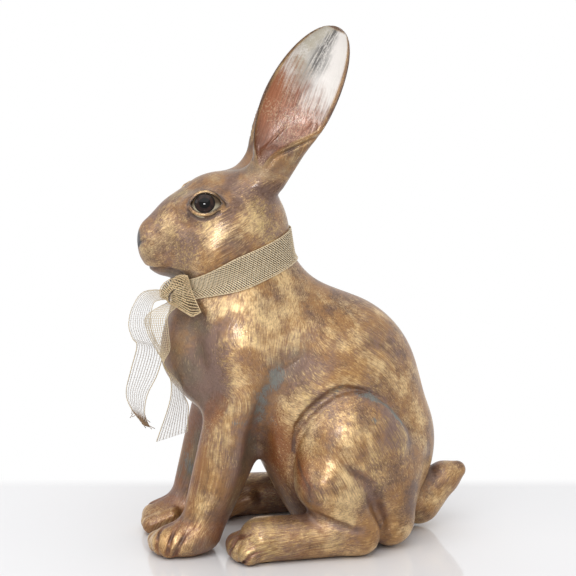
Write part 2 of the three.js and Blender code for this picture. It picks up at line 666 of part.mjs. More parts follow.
// Hind legs: solid castings laid on the torso's sides, cut to its skin, with a crease behind the calf.
function haunchCasting() {
  const calfTool = grown(awayFrom(legForm, CALF_CREASE), CALF_DEPTH);
  const form = blend(
    HAUNCH_BLEND,
    carve(CALF_EASE, legForm, calfTool),
    toesOf(toes, HIND_TOES_WIDTH, HIND_TOE_RADIUS),
  );
  const box = boxAround(
    [thigh, Math.max(THIGH_HEIGHT, THIGH_LENGTH) / 2],
    [knee, SHIN_RADIUS],
    [hamstringTop, HAMSTRING_RADIUS],
    [hamstringEnd, HAMSTRING_END_RADIUS],
    [footBall, FOOT_RADIUS],
    [toes, HIND_TOES_WIDTH / 2],
  );
  let leg = keepAbove(formOf(form, box, HAUNCH_CELL), UP, vec(0, 0, soleHeight));
  leg = largest(leg.subtract(bodyGrown));
  leg = leg.subtract(dowelBore(haunchDowelMiddle, LEFT, SIDE_DOWEL_LENGTH));
  return largest(leg.subtract(solidOf(padGeometry(footBall, FIT))));
}

// Tail: a solid casting bonded behind the hip.
function tailCasting() {
  const box = boxAround([tailBase, TAIL_BASE_RADIUS], [tailTip, TAIL_TIP_RADIUS]);
  const form = limb(tailBase, TAIL_BASE_RADIUS, tailTip, TAIL_TIP_RADIUS);
  const tail = keepAbove(formOf(form, box, LIMB_CELL), UP, vec(0, 0, soleHeight));
  return largest(tail.subtract(bodyGrown)).subtract(dowelBore(tailDowelMiddle, BACKWARD));
}

// Head casting: hollow, poured through its neck, with stumps for the ears and sockets for the eyes.
function earFrame(side) {
  const lean = THREE.MathUtils.degToRad(side > 0 ? EAR_LEAN_LEFT : EAR_LEAN_RIGHT);
  const splay = THREE.MathUtils.degToRad(EAR_SPLAY);
  const turn = THREE.MathUtils.degToRad(EAR_TURN);
  const axis = vec(0, Math.sin(lean), Math.cos(lean))
    .multiplyScalar(Math.cos(splay))
    .addScaledVector(LEFT, side * Math.sin(splay));
  const opening = vec(side * Math.cos(turn), -Math.sin(turn), 0);
  opening.addScaledVector(axis, -opening.dot(axis)).normalize();
  const foot = skull.clone().add(vec(side * EAR_SPREAD, EAR_BACK, EAR_RISE));
  const place = new THREE.Matrix4().makeBasis(opening, axis.clone().cross(opening), axis).setPosition(foot);
  return { foot, axis, place };
}

const coneForm = slim(limb(skull, SKULL_RADIUS, muzzle, MUZZLE_RADIUS), HEAD_SLIMNESS);
const eyeOut = wayOut(coneForm, skull.clone().add(vec(0, -EYE_FORWARD, EYE_RISE)), LEFT);
const brow = eyeOut.clone().addScaledVector(LEFT, EYE_DOME - BROW_RADIUS);
const earStump = (side) => {
  const { foot, axis } = earFrame(side);
  const root = foot.clone().addScaledVector(skull.clone().sub(foot).normalize(), EAR_ROOT_DEPTH);
  const end = foot.clone().addScaledVector(axis, 2 * EAR_SEAM_HEIGHT);
  return limb(root, EAR_ROOT_RADIUS, end, EAR_STEM_RADIUS);
};
const bridgeTop = skull.clone().add(vec(0, -BRIDGE_TOP_FORWARD, BRIDGE_TOP_RISE));
const bridgeEnd = muzzle.clone().add(vec(0, -BRIDGE_END_FORWARD, BRIDGE_END_RISE));
const bridgeForm = slim(limb(bridgeTop, BRIDGE_TOP_RADIUS, bridgeEnd, BRIDGE_END_RADIUS), HEAD_SLIMNESS);
const headForm = blend(
  HEAD_BLEND,
  blend(NECK_BLEND / 2, neckForm, blend(HEAD_BLEND / 2, coneForm, bridgeForm)),
  bothSides(ball(skull.clone().add(vec(CHEEK_SPREAD, -CHEEK_FORWARD, -CHEEK_DROP)), CHEEK_RADIUS)),
  bothSides(ball(brow, BROW_RADIUS)),
  earStump(1),
  earStump(-1),
);
const headBox = boxAround(
  [skull, SKULL_RADIUS],
  [muzzle, MUZZLE_RADIUS],
  [neckTop.clone().lerp(neckBase, 0.6), NECK_BASE_RADIUS],
  [earFrame(1).foot, EAR_SEAM_HEIGHT * 2 + EAR_STEM_RADIUS],
  [earFrame(-1).foot, EAR_SEAM_HEIGHT * 2 + EAR_STEM_RADIUS],
);
const headGrown = formOf(grown(headForm, SEAM_GAP), headBox, HEAD_CELL);

const eyePoint = wayOut(headForm, vec(0, brow.y, brow.z), LEFT);
const eyeNormal = slopeOf(headForm, eyePoint);
const eyeRimCentre = eyePoint.clone().addScaledVector(eyeNormal, -EYE_INSET);

// A dome on a short cylinder, its rim plane at height 0.
function eyeProfile(clearance) {
  const radius = EYE_RADIUS + clearance;
  const ballRadius = (EYE_RADIUS ** 2 + EYE_DOME ** 2) / (2 * EYE_DOME);
  const floor = -EYE_SEAT - clearance;
  const points = [new THREE.Vector2(0, floor), new THREE.Vector2(radius, floor)];
  const steps = 6;
  for (let i = 0; i <= steps; i += 1) {
    const out = EYE_RADIUS * (1 - i / steps);
    const rise = Math.sqrt(ballRadius ** 2 - out ** 2) - ballRadius + EYE_DOME;
    const share = out / EYE_RADIUS;
    points.push(new THREE.Vector2(out + clearance * share, rise + clearance * (1 - share)));
  }
  points[points.length - 1].x = 0;
  return points;
}

function eyeGeometry(clearance = 0) {
  const turn = new THREE.Quaternion().setFromUnitVectors(vec(0, 1, 0), eyeNormal);
  const place = new THREE.Matrix4().compose(eyeRimCentre, turn, vec(1, 1, 1));
  return new THREE.LatheGeometry(eyeProfile(clearance), ROUND_SIDES).applyMatrix4(place);
}

function earRoom(side) {
  const { place } = earFrame(side);
  const wide = 4 * EAR_STEM_RADIUS;
  const middle = EAR_SEAM_HEIGHT - SEAM_GAP / 2 + wide / 2;
  return solidOf(new THREE.BoxGeometry(wide, wide, wide).translate(0, 0, middle).applyMatrix4(place));
}

function earDowel(side) {
  const { foot, axis } = earFrame(side);
  return { middle: foot.addScaledVector(axis, EAR_SEAM_HEIGHT + DOWEL_LENGTH / 2 - EAR_DOWEL_IN_HEAD), axis };
}

function headCasting() {
  const hollow = blend(HEAD_BLEND, neckForm, coneForm);
  const deepest = EYE_SEAT + WALL;
  const cavity = keepAbove(
    formOf(grown(hollow, -deepest), headBox, CAVITY_CELL),
    neckNormal,
    alongNeck(NECK_FLOOR),
  );
  const head = keepAbove(formOf(headForm, headBox, HEAD_CELL), neckNormal, alongNeck(SEAM_GAP / 2));
  const socket = geometryOf(solidOf(eyeGeometry(FIT)));
  const tools = [
    cavity,
    solidOf(barGeometry(POUR_HOLE_RADIUS, 4 * NECK_FLOOR, alongNeck(NECK_FLOOR), neckNormal)),
    solidOf(socket),
    solidOf(mirrored(socket)),
  ];
  for (const side of [1, -1]) {
    const dowel = earDowel(side);
    tools.push(earRoom(side), dowelBore(dowel.middle, dowel.axis), dowelBore(neckDowel(side), neckNormal));
  }
  return largest(tools.reduce((solid, tool) => solid.subtract(tool), head));
}

// Ears: solid castings lofted through cupped sections, from the joint on the stem to the tip.
function earSection(share, count) {
  const leaf = share < EAR_WIDEST
    ? EAR_HALF_WIDTH * Math.sin((Math.PI / 2) * (share / EAR_WIDEST)) ** EAR_SWELL
    : EAR_HALF_WIDTH * Math.sqrt(1 - ((share - EAR_WIDEST) / (1 - EAR_WIDEST)) ** 2);
  const stem = EAR_STEM_RADIUS * (1 - share) ** 4;
  const half = Math.hypot(leaf, stem);
  const tipTaper = Math.sqrt(Math.max(0, 1 - share ** 6));
  const openness = THREE.MathUtils.smoothstep(share, 0, EAR_OPENS_BY);
  const bulge = THREE.MathUtils.lerp(EAR_STEM_RADIUS, EAR_BACK_BULGE, openness) * tipTaper;
  const front = THREE.MathUtils.lerp(EAR_STEM_RADIUS, -EAR_CUP_DEPTH, openness) * tipTaper;
  const rim = (EAR_RIM / 2) * openness * tipTaper;
  const sweep = EAR_TIP_SWEEP * share ** 3;
  const points = [];
  for (let i = 0; i < count; i += 1) {
    const angle = -Math.PI / 2 + (Math.PI * i) / (count - 1);
    points.push(new THREE.Vector2(-bulge * Math.cos(angle) - rim, sweep + half * Math.sin(angle)));
  }
  for (let i = count - 1; i >= 0; i -= 1) {
    const angle = -Math.PI / 2 + (Math.PI * (i + 0.5)) / count;
    const inner = half - rim;
    points.push(new THREE.Vector2(front * Math.cos(angle) + rim, sweep + inner * Math.sin(angle)));
  }
  return points;
}

function earCasting(side) {
  const rings = 15;
  const count = 8;
  const first = (EAR_SEAM_HEIGHT + SEAM_GAP / 2) / EAR_LENGTH;
  const positions = [];
  for (let r = 0; r < rings; r += 1) {
    const share = first + (0.985 - first) * Math.sin((Math.PI / 2) * (r / (rings - 1)));
    for (const p of earSection(share, count)) positions.push(p.x, side * p.y, share * EAR_LENGTH);
  }
  const around = 2 * count;
  const foot = positions.length / 3;
  positions.push(0, 0, first * EAR_LENGTH);
  positions.push(0, side * EAR_TIP_SWEEP, EAR_LENGTH);
  const triangles = [];
  for (let i = 0; i < around; i += 1) {
    const next = (i + 1) % around;
    for (let r = 0; r < rings - 1; r += 1) {
      const [a, b] = [r * around + i, r * around + next];
      triangles.push(a, b, b + around, a, b + around, a + around);
    }
    triangles.push(foot, next, i);
    const last = (rings - 1) * around;
    triangles.push(foot + 1, last + i, last + next);
  }
  if (side > 0) triangles.reverse();
  const geometry = new THREE.BufferGeometry();
  geometry.setAttribute('position', new THREE.Float32BufferAttribute(positions, 3));
  geometry.setIndex(triangles);
  const { place } = earFrame(side);
  const dowel = earDowel(side);
  return solidOf(geometry.applyMatrix4(place)).subtract(dowelBore(dowel.middle, dowel.axis));
}

// Ribbon collar: a band that follows the neck's skin round the tilted plane.
const skin = (x, y, z) => Math.min(bodyForm(x, y, z), headForm(x, y, z));
const COLLAR_STEPS = 40;
const COLLAR_ROWS = 5;

function collarGeometry(inner, outer, width) {
  const positions = [];
  for (let s = 0; s < COLLAR_STEPS; s += 1) {
    const angle = (2 * Math.PI * s) / COLLAR_STEPS;
    const out = roundNeck(angle);
    const gather = THREE.MathUtils.lerp(1, COLLAR_GATHER, THREE.MathUtils.smoothstep(Math.cos(angle), 0, 1));
    for (const gap of [inner, outer]) {
      for (let row = 0; row < COLLAR_ROWS; row += 1) {
        const height = (row / (COLLAR_ROWS - 1) - 0.5) * width * gather;
        positions.push(...wayOut(grown(skin, gap), alongNeck(height), out).toArray());
      }
    }
  }
  const ring = 2 * COLLAR_ROWS;
  const loop = Array.from({ length: ring }, (_, i) => (i < COLLAR_ROWS ? i : ring + COLLAR_ROWS - 1 - i));
  const triangles = [];
  for (let s = 0; s < COLLAR_STEPS; s += 1) {
    const [here, there] = [s * ring, ((s + 1) % COLLAR_STEPS) * ring];
    for (let i = 0; i < ring; i += 1) {
      const [a, b] = [loop[i], loop[(i + 1) % ring]];
      triangles.push(here + a, here + b, there + b, here + a, there + b, there + a);
    }
  }
  const geometry = new THREE.BufferGeometry();
  geometry.setAttribute('position', new THREE.Float32BufferAttribute(positions, 3));
  geometry.setIndex(triangles);
  return geometry;
}

const collar = solidOf(collarGeometry(RIBBON_GAP, RIBBON_GAP + RIBBON_THICKNESS, RIBBON_WIDTH));
const collarGrown = solidOf(collarGeometry(
  RIBBON_GAP - FIT,
  RIBBON_GAP + RIBBON_THICKNESS + FIT,
  RIBBON_WIDTH + 2 * FIT,
));

// Ribbon knot: a flattened wrap of folded ribbon over the collar's front, its lower end swung back.
const knotOut = roundNeck(THREE.MathUtils.degToRad(KNOT_ROUND_NECK));
const knotMiddle = wayOut(skin, alongNeck(0), knotOut)
  .addScaledVector(knotOut, KNOT_AHEAD)
  .addScaledVector(UP, -KNOT_DROP);
const knotPlace = new THREE.Matrix4()
  .makeRotationZ(THREE.MathUtils.degToRad(KNOT_TURN))
  .multiply(new THREE.Matrix4().makeRotationY(THREE.MathUtils.degToRad(-KNOT_LEAN)))
  .setPosition(knotMiddle);
const knotForm = roundedBox(knotPlace, RIBBON_WIDTH / 2, KNOT_THICKNESS / 2, KNOT_LENGTH / 2, KNOT_ROUND);
const knotBox = boxAround([knotMiddle, KNOT_LENGTH]);
const knotGrown = formOf(grown(knotForm, FIT), knotBox, KNOT_CELL);
const knot = largest(
  formOf(knotForm, knotBox, KNOT_CELL).subtract(collarGrown).subtract(headGrown).subtract(bodyGrown),
);

// Ribbon ends: strips from behind the knot down over the chest. Each station gives the front and rear edge
// as steps from the knot's middle: towards the left side, forward and down.
const FRONT_END = [
  [[-9, 6, -2], [1, 3, 3]],
  [[-21, 27, 0], [-7, 18, 5]],
  [[-21, 37, 12], [-5, 23, 9]],
  [[-20, 40.5, 26], [-3, 25, 23]],
  [[-17, 38, 36], [-3, 21, 36]],
  [[-14, 35, 42], [-6, 15.5, 46]],
  [[-16, 40, 62], [-5, 20, 63]],
  [[-19, 43.5, 80], [-5, 28, 79]],
  [[-16, 40, 92], [-9, 30, 95]],
  [[-13, 30, 106], [-11, 26, 107]],
];
const CHEST_END = [
  [[-6, 6, 4], [3, 1, 6]],
  [[-1, 28, 15], [13, 13, 13]],
  [[-2, 28, 28], [13, 13, 26]],
  [[-4, 22, 41], [11, 12, 40]],
  [[-1, 15, 54], [20, 18, 51]],
  [[4, 11, 66], [6, -1, 68]],
  [[4, 11, 78], [2, -3, 76]],
  [[4, 14, 90], [0, -3, 87]],
  [[1, 18, 103], [-1, -3, 98]],
  [[0, 22.5, 116], [0, -2.5, 109]],
];
const END_STEPS = 22;
const END_COLUMNS = 3;

function ribbonEnd(stations) {
  const edges = [0, 1].map((edge) => new THREE.CatmullRomCurve3(
    stations.map((station) => {
      const [left, ahead, down] = station[edge];
      return knotMiddle.clone().add(vec(left, -ahead, -down));
    }),
  ));
  const rows = [];
  for (let s = 0; s <= END_STEPS; s += 1) {
    const [front, rear] = edges.map((curve) => curve.getPoint(s / END_STEPS));
    const across = (column) => front.clone().lerp(rear, column / (END_COLUMNS - 1));
    rows.push(Array.from({ length: END_COLUMNS }, (_, column) => clearOfChest(across(column))));
  }
  const positions = [];
  for (let s = 0; s <= END_STEPS; s += 1) {
    const along = rows[Math.min(s + 1, END_STEPS)][1].clone().sub(rows[Math.max(s - 1, 0)][1]);
    for (const offset of [-RIBBON_THICKNESS / 2, RIBBON_THICKNESS / 2]) {
      for (let c = 0; c < END_COLUMNS; c += 1) {
        const width = rows[s][END_COLUMNS - 1].clone().sub(rows[s][0]);
        const normal = width.cross(along).normalize();
        positions.push(...rows[s][c].clone().addScaledVector(normal, offset).toArray());
      }
    }
  }
  const ring = 2 * END_COLUMNS;
  const loop = Array.from({ length: ring }, (_, i) => (i < END_COLUMNS ? i : ring + END_COLUMNS - 1 - i));
  const triangles = [];
  for (let i = 0; i < ring; i += 1) {
    const [a, b] = [loop[i], loop[(i + 1) % ring]];
    for (let s = 0; s < END_STEPS; s += 1) {
      const [here, there] = [s * ring, (s + 1) * ring];
      triangles.push(here + a, there + b, here + b, here + a, there + a, there + b);
    }
  }
  const last = END_STEPS * ring;
  for (let c = 0; c < END_COLUMNS - 1; c += 1) {
    const [a, b] = [c, c + END_COLUMNS];
    triangles.push(a, a + 1, b + 1, a, b + 1, b);
    triangles.push(last + a, last + b + 1, last + a + 1, last + a, last + b, last + b + 1);
  }
  const geometry = new THREE.BufferGeometry();
  geometry.setAttribute('position', new THREE.Float32BufferAttribute(positions, 3));
  geometry.setIndex(triangles);
  return largest(solidOf(geometry).subtract(knotGrown).subtract(collarGrown));
}

// The cloth lies on the chest where the chest comes forward to it.
function clearOfChest(point) {
  const room = RIBBON_GAP + RIBBON_THICKNESS;
  const inside = vec(point.x, chest.y, point.z);
  const front = wayOut(grown(skin, room), inside, FORWARD);
  return vec(point.x, Math.min(point.y, front.y), point.z);
}

// Finishes.
const agedGold = new THREE.MeshStandardMaterial({ color: 0xa9854a, roughness: 0.42, metalness: 0.7 });
const darkGlass = new THREE.MeshStandardMaterial({ color: 0x1c1614, roughness: 0.08, metalness: 0 });
const dowelSteel = new THREE.MeshStandardMaterial({ color: 0x9b9da0, roughness: 0.35, metalness: 1 });
const stopperRubber = new THREE.MeshStandardMaterial({ color: 0x3a3632, roughness: 0.8, metalness: 0 });
const brownFelt = new THREE.MeshStandardMaterial({ color: 0x5b4636, roughness: 1, metalness: 0 });
const wovenRibbon = new THREE.MeshStandardMaterial({ color: 0xc9b48a, roughness: 0.6, metalness: 0.2 });

// Assembly.
const figure = new THREE.Group();

function put(name, geometry, material) {
  const mesh = new THREE.Mesh(geometry, material);
  mesh.name = name;
  figure.add(mesh);
}

function putPair(name, leftGeometry, material) {
  put(`left_${name}`, leftGeometry, material);
  put(`right_${name}`, mirrored(leftGeometry), material);
}

put('body_casting', geometryOf(bodyCasting()), agedGold);
put('head_casting', geometryOf(headCasting()), agedGold);
put('left_ear', geometryOf(earCasting(1)), agedGold);
put('right_ear', geometryOf(earCasting(-1)), agedGold);
putPair('foreleg', geometryOf(forelegCasting()), agedGold);
putPair('haunch', geometryOf(haunchCasting()), agedGold);
put('tail', geometryOf(tailCasting()), agedGold);
putPair('eye', geometryOf(solidOf(eyeGeometry())), darkGlass);

put('left_ear_dowel', dowelAt(earDowel(1).middle, earDowel(1).axis), dowelSteel);
put('right_ear_dowel', dowelAt(earDowel(-1).middle, earDowel(-1).axis), dowelSteel);
putPair('neck_dowel', geometryOf(solidOf(dowelAt(neckDowel(1), neckNormal))), dowelSteel);
putPair('foreleg_dowel', geometryOf(solidOf(dowelAt(forelegSeam, forelegAxis))), dowelSteel);
putPair('haunch_dowel', geometryOf(solidOf(dowelAt(haunchDowelMiddle, LEFT, SIDE_DOWEL_LENGTH))), dowelSteel);
put('tail_dowel', dowelAt(tailDowelMiddle, BACKWARD), dowelSteel);

put('base_plug', geometryOf(solidOf(plugTurned(0))), stopperRubber);
put('rump_pad', padGeometry(baseMiddle, 0, RUMP_PAD_RADIUS), brownFelt);
putPair('forepaw_pad', geometryOf(solidOf(padGeometry(paw))), brownFelt);
putPair('hind_foot_pad', geometryOf(solidOf(padGeometry(footBall))), brownFelt);

put('ribbon_collar', geometryOf(collar), wovenRibbon);
put('ribbon_knot', geometryOf(knot), wovenRibbon);
put('ribbon_front_end', geometryOf(ribbonEnd(FRONT_END)), wovenRibbon);
put('ribbon_chest_end', geometryOf(ribbonEnd(CHEST_END)), wovenRibbon);

// The part's origin is on the floor, in the middle of the whole object's box.
const bounds = new THREE.Box3().setFromObject(figure);
const middle = bounds.getCenter(vec(0, 0, 0));
figure.position.set(-middle.x, -middle.y, -bounds.min.z);
const rabbit = new THREE.Group();
rabbit.add(figure);

export default rabbit;
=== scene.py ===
# A seated rabbit ornament: aged-gold resin castings, set-in eyes and a woven ribbon tied round the neck.
import math
import bpy
import numpy as np
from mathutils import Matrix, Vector


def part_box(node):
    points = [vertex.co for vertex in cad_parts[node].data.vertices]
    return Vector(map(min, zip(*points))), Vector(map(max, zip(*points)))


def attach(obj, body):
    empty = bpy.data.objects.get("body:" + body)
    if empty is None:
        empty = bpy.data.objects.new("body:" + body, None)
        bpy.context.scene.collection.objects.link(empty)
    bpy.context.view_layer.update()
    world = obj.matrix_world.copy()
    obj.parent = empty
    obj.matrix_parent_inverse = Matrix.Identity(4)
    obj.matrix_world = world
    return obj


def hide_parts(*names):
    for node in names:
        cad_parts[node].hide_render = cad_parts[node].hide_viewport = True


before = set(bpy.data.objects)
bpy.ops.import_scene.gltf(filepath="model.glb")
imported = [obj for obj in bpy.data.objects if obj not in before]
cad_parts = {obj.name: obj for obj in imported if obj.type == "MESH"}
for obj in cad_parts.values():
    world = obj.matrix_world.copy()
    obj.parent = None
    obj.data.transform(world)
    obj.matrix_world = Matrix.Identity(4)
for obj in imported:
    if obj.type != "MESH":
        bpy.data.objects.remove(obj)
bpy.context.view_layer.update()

# Camera: a long lens on the rabbit's left side, a little ahead of square and a little above it, aimed at a
# point 42 mm ahead of the stopper in the base.
plug_low, plug_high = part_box("base_plug")
VIEW_AIM = Vector((0.0, (plug_low.y + plug_high.y) / 2 - 0.042, 0.2025))
VIEW_AZIMUTH = math.radians(79.0)
VIEW_ELEVATION = math.radians(10.5)
VIEW_DISTANCE = 1.3
VIEW_WIDTH = 0.455
SENSOR_WIDTH = 36.0

level_to_camera = Vector((math.sin(VIEW_AZIMUTH), -math.cos(VIEW_AZIMUTH), 0.0))
to_camera = level_to_camera * math.cos(VIEW_ELEVATION) + Vector((0.0, 0.0, math.sin(VIEW_ELEVATION)))
camera_data = bpy.data.cameras.new("side_view")
camera_data.sensor_width = SENSOR_WIDTH
camera_data.lens = SENSOR_WIDTH * VIEW_DISTANCE / VIEW_WIDTH
camera = bpy.data.objects.new("side_view", camera_data)
camera.location = VIEW_AIM + to_camera * VIEW_DISTANCE
camera.rotation_euler = to_camera.to_track_quat("Z", "Y").to_euler()
bpy.context.scene.collection.objects.link(camera)
bpy.context.scene.camera = camera
bpy.context.scene.view_settings.view_transform = "Standard"

# Table: a sheet of white acrylic that mirrors the feet faintly and goes over into a white backdrop behind
# the rabbit.
TABLE_HALF = 3.0
TABLE_TONE = (236, 236, 238)
TABLE_EDGE = 0.15
TABLE_EDGE_SOFTNESS = 0.03
TABLE_ROUGHNESS = 0.08


def tone(red, green, blue):
    """A paint colour, given as it looks on a screen, as linear light."""
    shares = [value / 255 for value in (red, green, blue)]
    linear = [s / 12.92 if s <= 0.04045 else ((s + 0.055) / 1.055) ** 2.4 for s in shares]
    return (*linear, 1.0)


def finish(name):
    """A new node material: its tree and its surface shader."""
    material = bpy.data.materials.new(name)
    material.use_nodes = True
    return material, material.node_tree, material.node_tree.nodes["Principled BSDF"]


def add(tree, kind, sockets=None, **settings):
    """A node with its settings, and its sockets linked or set."""
    made = tree.nodes.new(kind)
    for key, value in settings.items():
        setattr(made, key, value)
    for key, value in (sockets or {}).items():
        if isinstance(value, bpy.types.NodeSocket):
            tree.links.new(value, made.inputs[key])
        else:
            made.inputs[key].default_value = value
    return made


def math_of(tree, operation, first, second=0.0):
    return add(tree, "ShaderNodeMath", {0: first, 1: second}, operation=operation).outputs[0]


def ramp(tree, value, low, high):
    """0 below the low value, 1 above the high one, smooth between."""
    sockets = {"Value": value, "From Min": low, "From Max": high}
    return add(tree, "ShaderNodeMapRange", sockets, interpolation_type="SMOOTHSTEP").outputs[0]


def mix(tree, share, below, above):
    """Two colours laid over each other by a share."""
    node = add(tree, "ShaderNodeMix", {0: share, 6: below, 7: above}, data_type="RGBA")
    return node.outputs[2]


def wash(tree, colour, share, strength, paint):
    """A colour under a thin coat of paint."""
    return mix(tree, math_of(tree, "MULTIPLY", share, strength), colour, paint)


def rest_of(tree, share):
    return math_of(tree, "SUBTRACT", 1.0, share)


def noise_at(tree, place, scale, detail, roughness=0.5):
    """Noise over places or over brush strokes."""
    sockets = {"Vector": place, "Scale": scale, "Detail": detail, "Roughness": roughness}
    return add(tree, "ShaderNodeTexNoise", sockets).outputs["Fac"]


def mark_at(tree, key):
    """A number that a mesh holds at each of its points."""
    return add(tree, "ShaderNodeAttribute", attribute_name=key).outputs["Fac"]


def place_on(tree):
    return add(tree, "ShaderNodeTexCoord").outputs["Object"]


def shown(tree):
    """1 where the backdrop is seen, straight or in metal and glass, and 0 where it only gives light."""
    rays = add(tree, "ShaderNodeLightPath").outputs
    straight = math_of(tree, "MAXIMUM", rays["Is Camera Ray"], rays["Is Glossy Ray"])
    return math_of(tree, "MAXIMUM", straight, rays["Is Transmission Ray"])


table_finish, tree, shader = finish("white_acrylic")
shader.inputs["Base Color"].default_value = tone(*TABLE_TONE)
shader.inputs["Roughness"].default_value = TABLE_ROUGHNESS
place = add(tree, "ShaderNodeNewGeometry").outputs["Position"]
away = add(tree, "ShaderNodeVectorMath", {0: place, 1: tuple(-level_to_camera)}, operation="DOT_PRODUCT")
edge = ramp(tree, away.outputs["Value"], TABLE_EDGE - TABLE_EDGE_SOFTNESS, TABLE_EDGE)
backdrop = add(tree, "ShaderNodeEmission", {"Color": (1.0, 1.0, 1.0, 1.0), "Strength": 1.0})
share = math_of(tree, "MULTIPLY", edge, shown(tree))
both = add(tree, "ShaderNodeMixShader", {0: share, 1: shader.outputs[0], 2: backdrop.outputs[0]})
tree.links.new(both.outputs[0], tree.nodes["Material Output"].inputs["Surface"])

table_mesh = bpy.data.meshes.new("table")
corners = [(-1, -1), (1, -1), (1, 1), (-1, 1)]
table_mesh.from_pydata([(x * TABLE_HALF, y * TABLE_HALF, 0.0) for x, y in corners], [], [(0, 1, 2, 3)])
table_mesh.materials.append(table_finish)
table = bpy.data.objects.new("table", table_mesh)
bpy.context.scene.collection.objects.link(table)

# Studio light: a broad softbox high on the camera's side, a weaker one in front of the rabbit and a small
# lamp for the spark in the eyes, in a white studio that is brightest behind the rabbit, towards its tail.
STUDIO_DARK = 0.36
STUDIO_BRIGHT = 1.0
STUDIO_TOWARDS = (-level_to_camera * 0.7 + Vector((0.0, 0.6, 0.4))).normalized()
STUDIO_SPREAD = (-0.45, 0.7)
SOFTBOXES = [
    # name, degrees round from the nose, degrees up, distance, side, watts
    ("high_softbox", 64.0, 54.0, 1.7, 1.7, 16.5),
    ("front_softbox", 20.0, 24.0, 1.9, 0.6, 3.5),
    ("catch_light", 76.0, 15.0, 1.6, 0.2, 7.0),
]

world = bpy.data.worlds.new("studio")
bpy.context.scene.world = world
world.use_nodes = True
tree = world.node_tree
background = tree.nodes["Background"]
direction = add(tree, "ShaderNodeTexCoord").outputs["Generated"]
facing = add(tree, "ShaderNodeVectorMath", {0: direction, 1: tuple(STUDIO_TOWARDS)}, operation="DOT_PRODUCT")
behind = ramp(tree, facing.outputs["Value"], *STUDIO_SPREAD)
sockets = {"Value": behind, "To Min": STUDIO_DARK, "To Max": STUDIO_BRIGHT}
level = add(tree, "ShaderNodeMapRange", sockets).outputs[0]
strength = math_of(tree, "MAXIMUM", level, shown(tree))
tree.links.new(strength, background.inputs["Strength"])
background.inputs["Color"].default_value = (1.0, 1.0, 1.0, 1.0)

for name, azimuth, elevation, distance, side, watts in SOFTBOXES:
    lamp = bpy.data.lights.new(name, "AREA")
    lamp.energy = watts
    lamp.size = side
    softbox = bpy.data.objects.new(name, lamp)
    turn = math.radians(azimuth)
    rise = math.radians(elevation)
    towards = Vector((math.sin(turn) * math.cos(rise), -math.cos(turn) * math.cos(rise), math.sin(rise)))
    softbox.location = VIEW_AIM + towards * distance
    softbox.rotation_euler = towards.to_track_quat("Z", "Y").to_euler()
    softbox.visible_diffuse = name != "catch_light"
    bpy.context.scene.collection.objects.link(softbox)

# Body casting: torso, neck and shoulders in poured resin, hollow inside, with a flat base. The forelegs,
# haunches and tail are bonded to it and their joints filled, so all of these are sculpted as one form in
# millimetres and then parted along the joints.
MM = 0.001
BODY_CELL = 1.35
SOLE = 0.6

HIP = np.array([0.0, (plug_low.y + plug_high.y) / 2 / MM, 75.6])
BACK = HIP + (0, -17, 43)
CHEST = BACK + (0, -70, 31)
NECK_BASE = CHEST + (0, 14, 15)
NECK_TOP = NECK_BASE + (0, -13, 83)
SHOULDER = CHEST + (33, 3, -30)
SHOULDER_BLADE = CHEST + (25, 2, 8)
PAW = HIP + (33, -131, -63.5)
WRIST = PAW + (0, 16, 16.5)
THIGH = HIP + (49, -3, 6)
KNEE = THIGH + (9, -21, -22)
HEEL = HIP + (58, 2, -59)
ANKLE = HEEL + (0, 0, 4)
FOOT_BALL = HIP + (58, -74, -59)
HIND_TOES = HIP + (58, -100, -66.5)
HAMSTRING_TOP = HIP + (47, 22, 12)
HAMSTRING_END = HIP + (43, 31, -55)
TAIL_BASE = HIP + (0, 66.5, -54)
TAIL_BEND = HIP + (0, 88, -36)
TAIL_TIP = HIP + (0, 99.5, -30)
LEG_AXIS = (SHOULDER - WRIST) / np.linalg.norm(SHOULDER - WRIST)
LEG_SEAM = SHOULDER + 0.6 * (WRIST - SHOULDER)
ELBOW = HIP + (27, -79.5, 9)
ELBOW_END = WRIST + (-4, 9, 3)
LEG_SHIN = HIP + (52.3, -85.7, 14)
LEG_SHIN_FACING = np.array([0.577, 0.817, 0.0])
LEG_SHIN_OUT = LEG_SHIN_FACING - LEG_AXIS * (LEG_SHIN_FACING @ LEG_AXIS)
LEG_SHIN_OUT = LEG_SHIN_OUT / np.linalg.norm(LEG_SHIN_OUT)

# Creases of the sculpture on the left side, as steps back and up from the hip's centre.
FLANK_HOLLOW = [(-40, 84), (-61, 71), (-72, 52), (-75, 27), (-75, 8)]
CHEST_HOLLOW = [(-124, 104), (-118, 68), (-112, 50)]
THIGH_CREASE = [
    (-36, -32), (-40, -14), (-45, -1), (-48, 9), (-48, 19), (-46, 28), (-39, 38), (-29, 48), (-18, 55),
    (-9, 57), (1, 55), (10, 51), (20, 46), (28, 39), (36, 29), (42, 21), (44, 12), (46, 4),
]
CALF_CREASE = [(-14, 3), (-6, -3), (1, -9), (7, -15), (11, -27), (15, -37), (18.6, -46), (20, -63)]
INSTEP_CREASE = [(-34, -36), (-22, -43), (-10, -48), (0, -51)]
PAW_CLEFT_STEPS = [
    [(-153.5, -68), (-153.5, -61), (-149, -51), (-141, -43.5)],
    [(-146, -71), (-145, -62.5), (-140, -53), (-133, -45)],
    [(-140, -72), (-138, -64), (-131.5, -54.5), (-125, -49.5)],
]
FOOT_CLEFT_STEPS = [
    [(-99.5, -70), (-97.5, -62), (-93, -56), (-88, -52.5), (-82, -49.5)],
    [(-91, -76), (-89.5, -70), (-86.5, -66), (-82, -63.5), (-75, -62)],
]
BELLY_LINES = [((-110, 36), (-73, 5)), ((-73, 5), (-50, -43))]


def ball(p, centre, radius):
    return np.linalg.norm(p - centre, axis=1) - radius


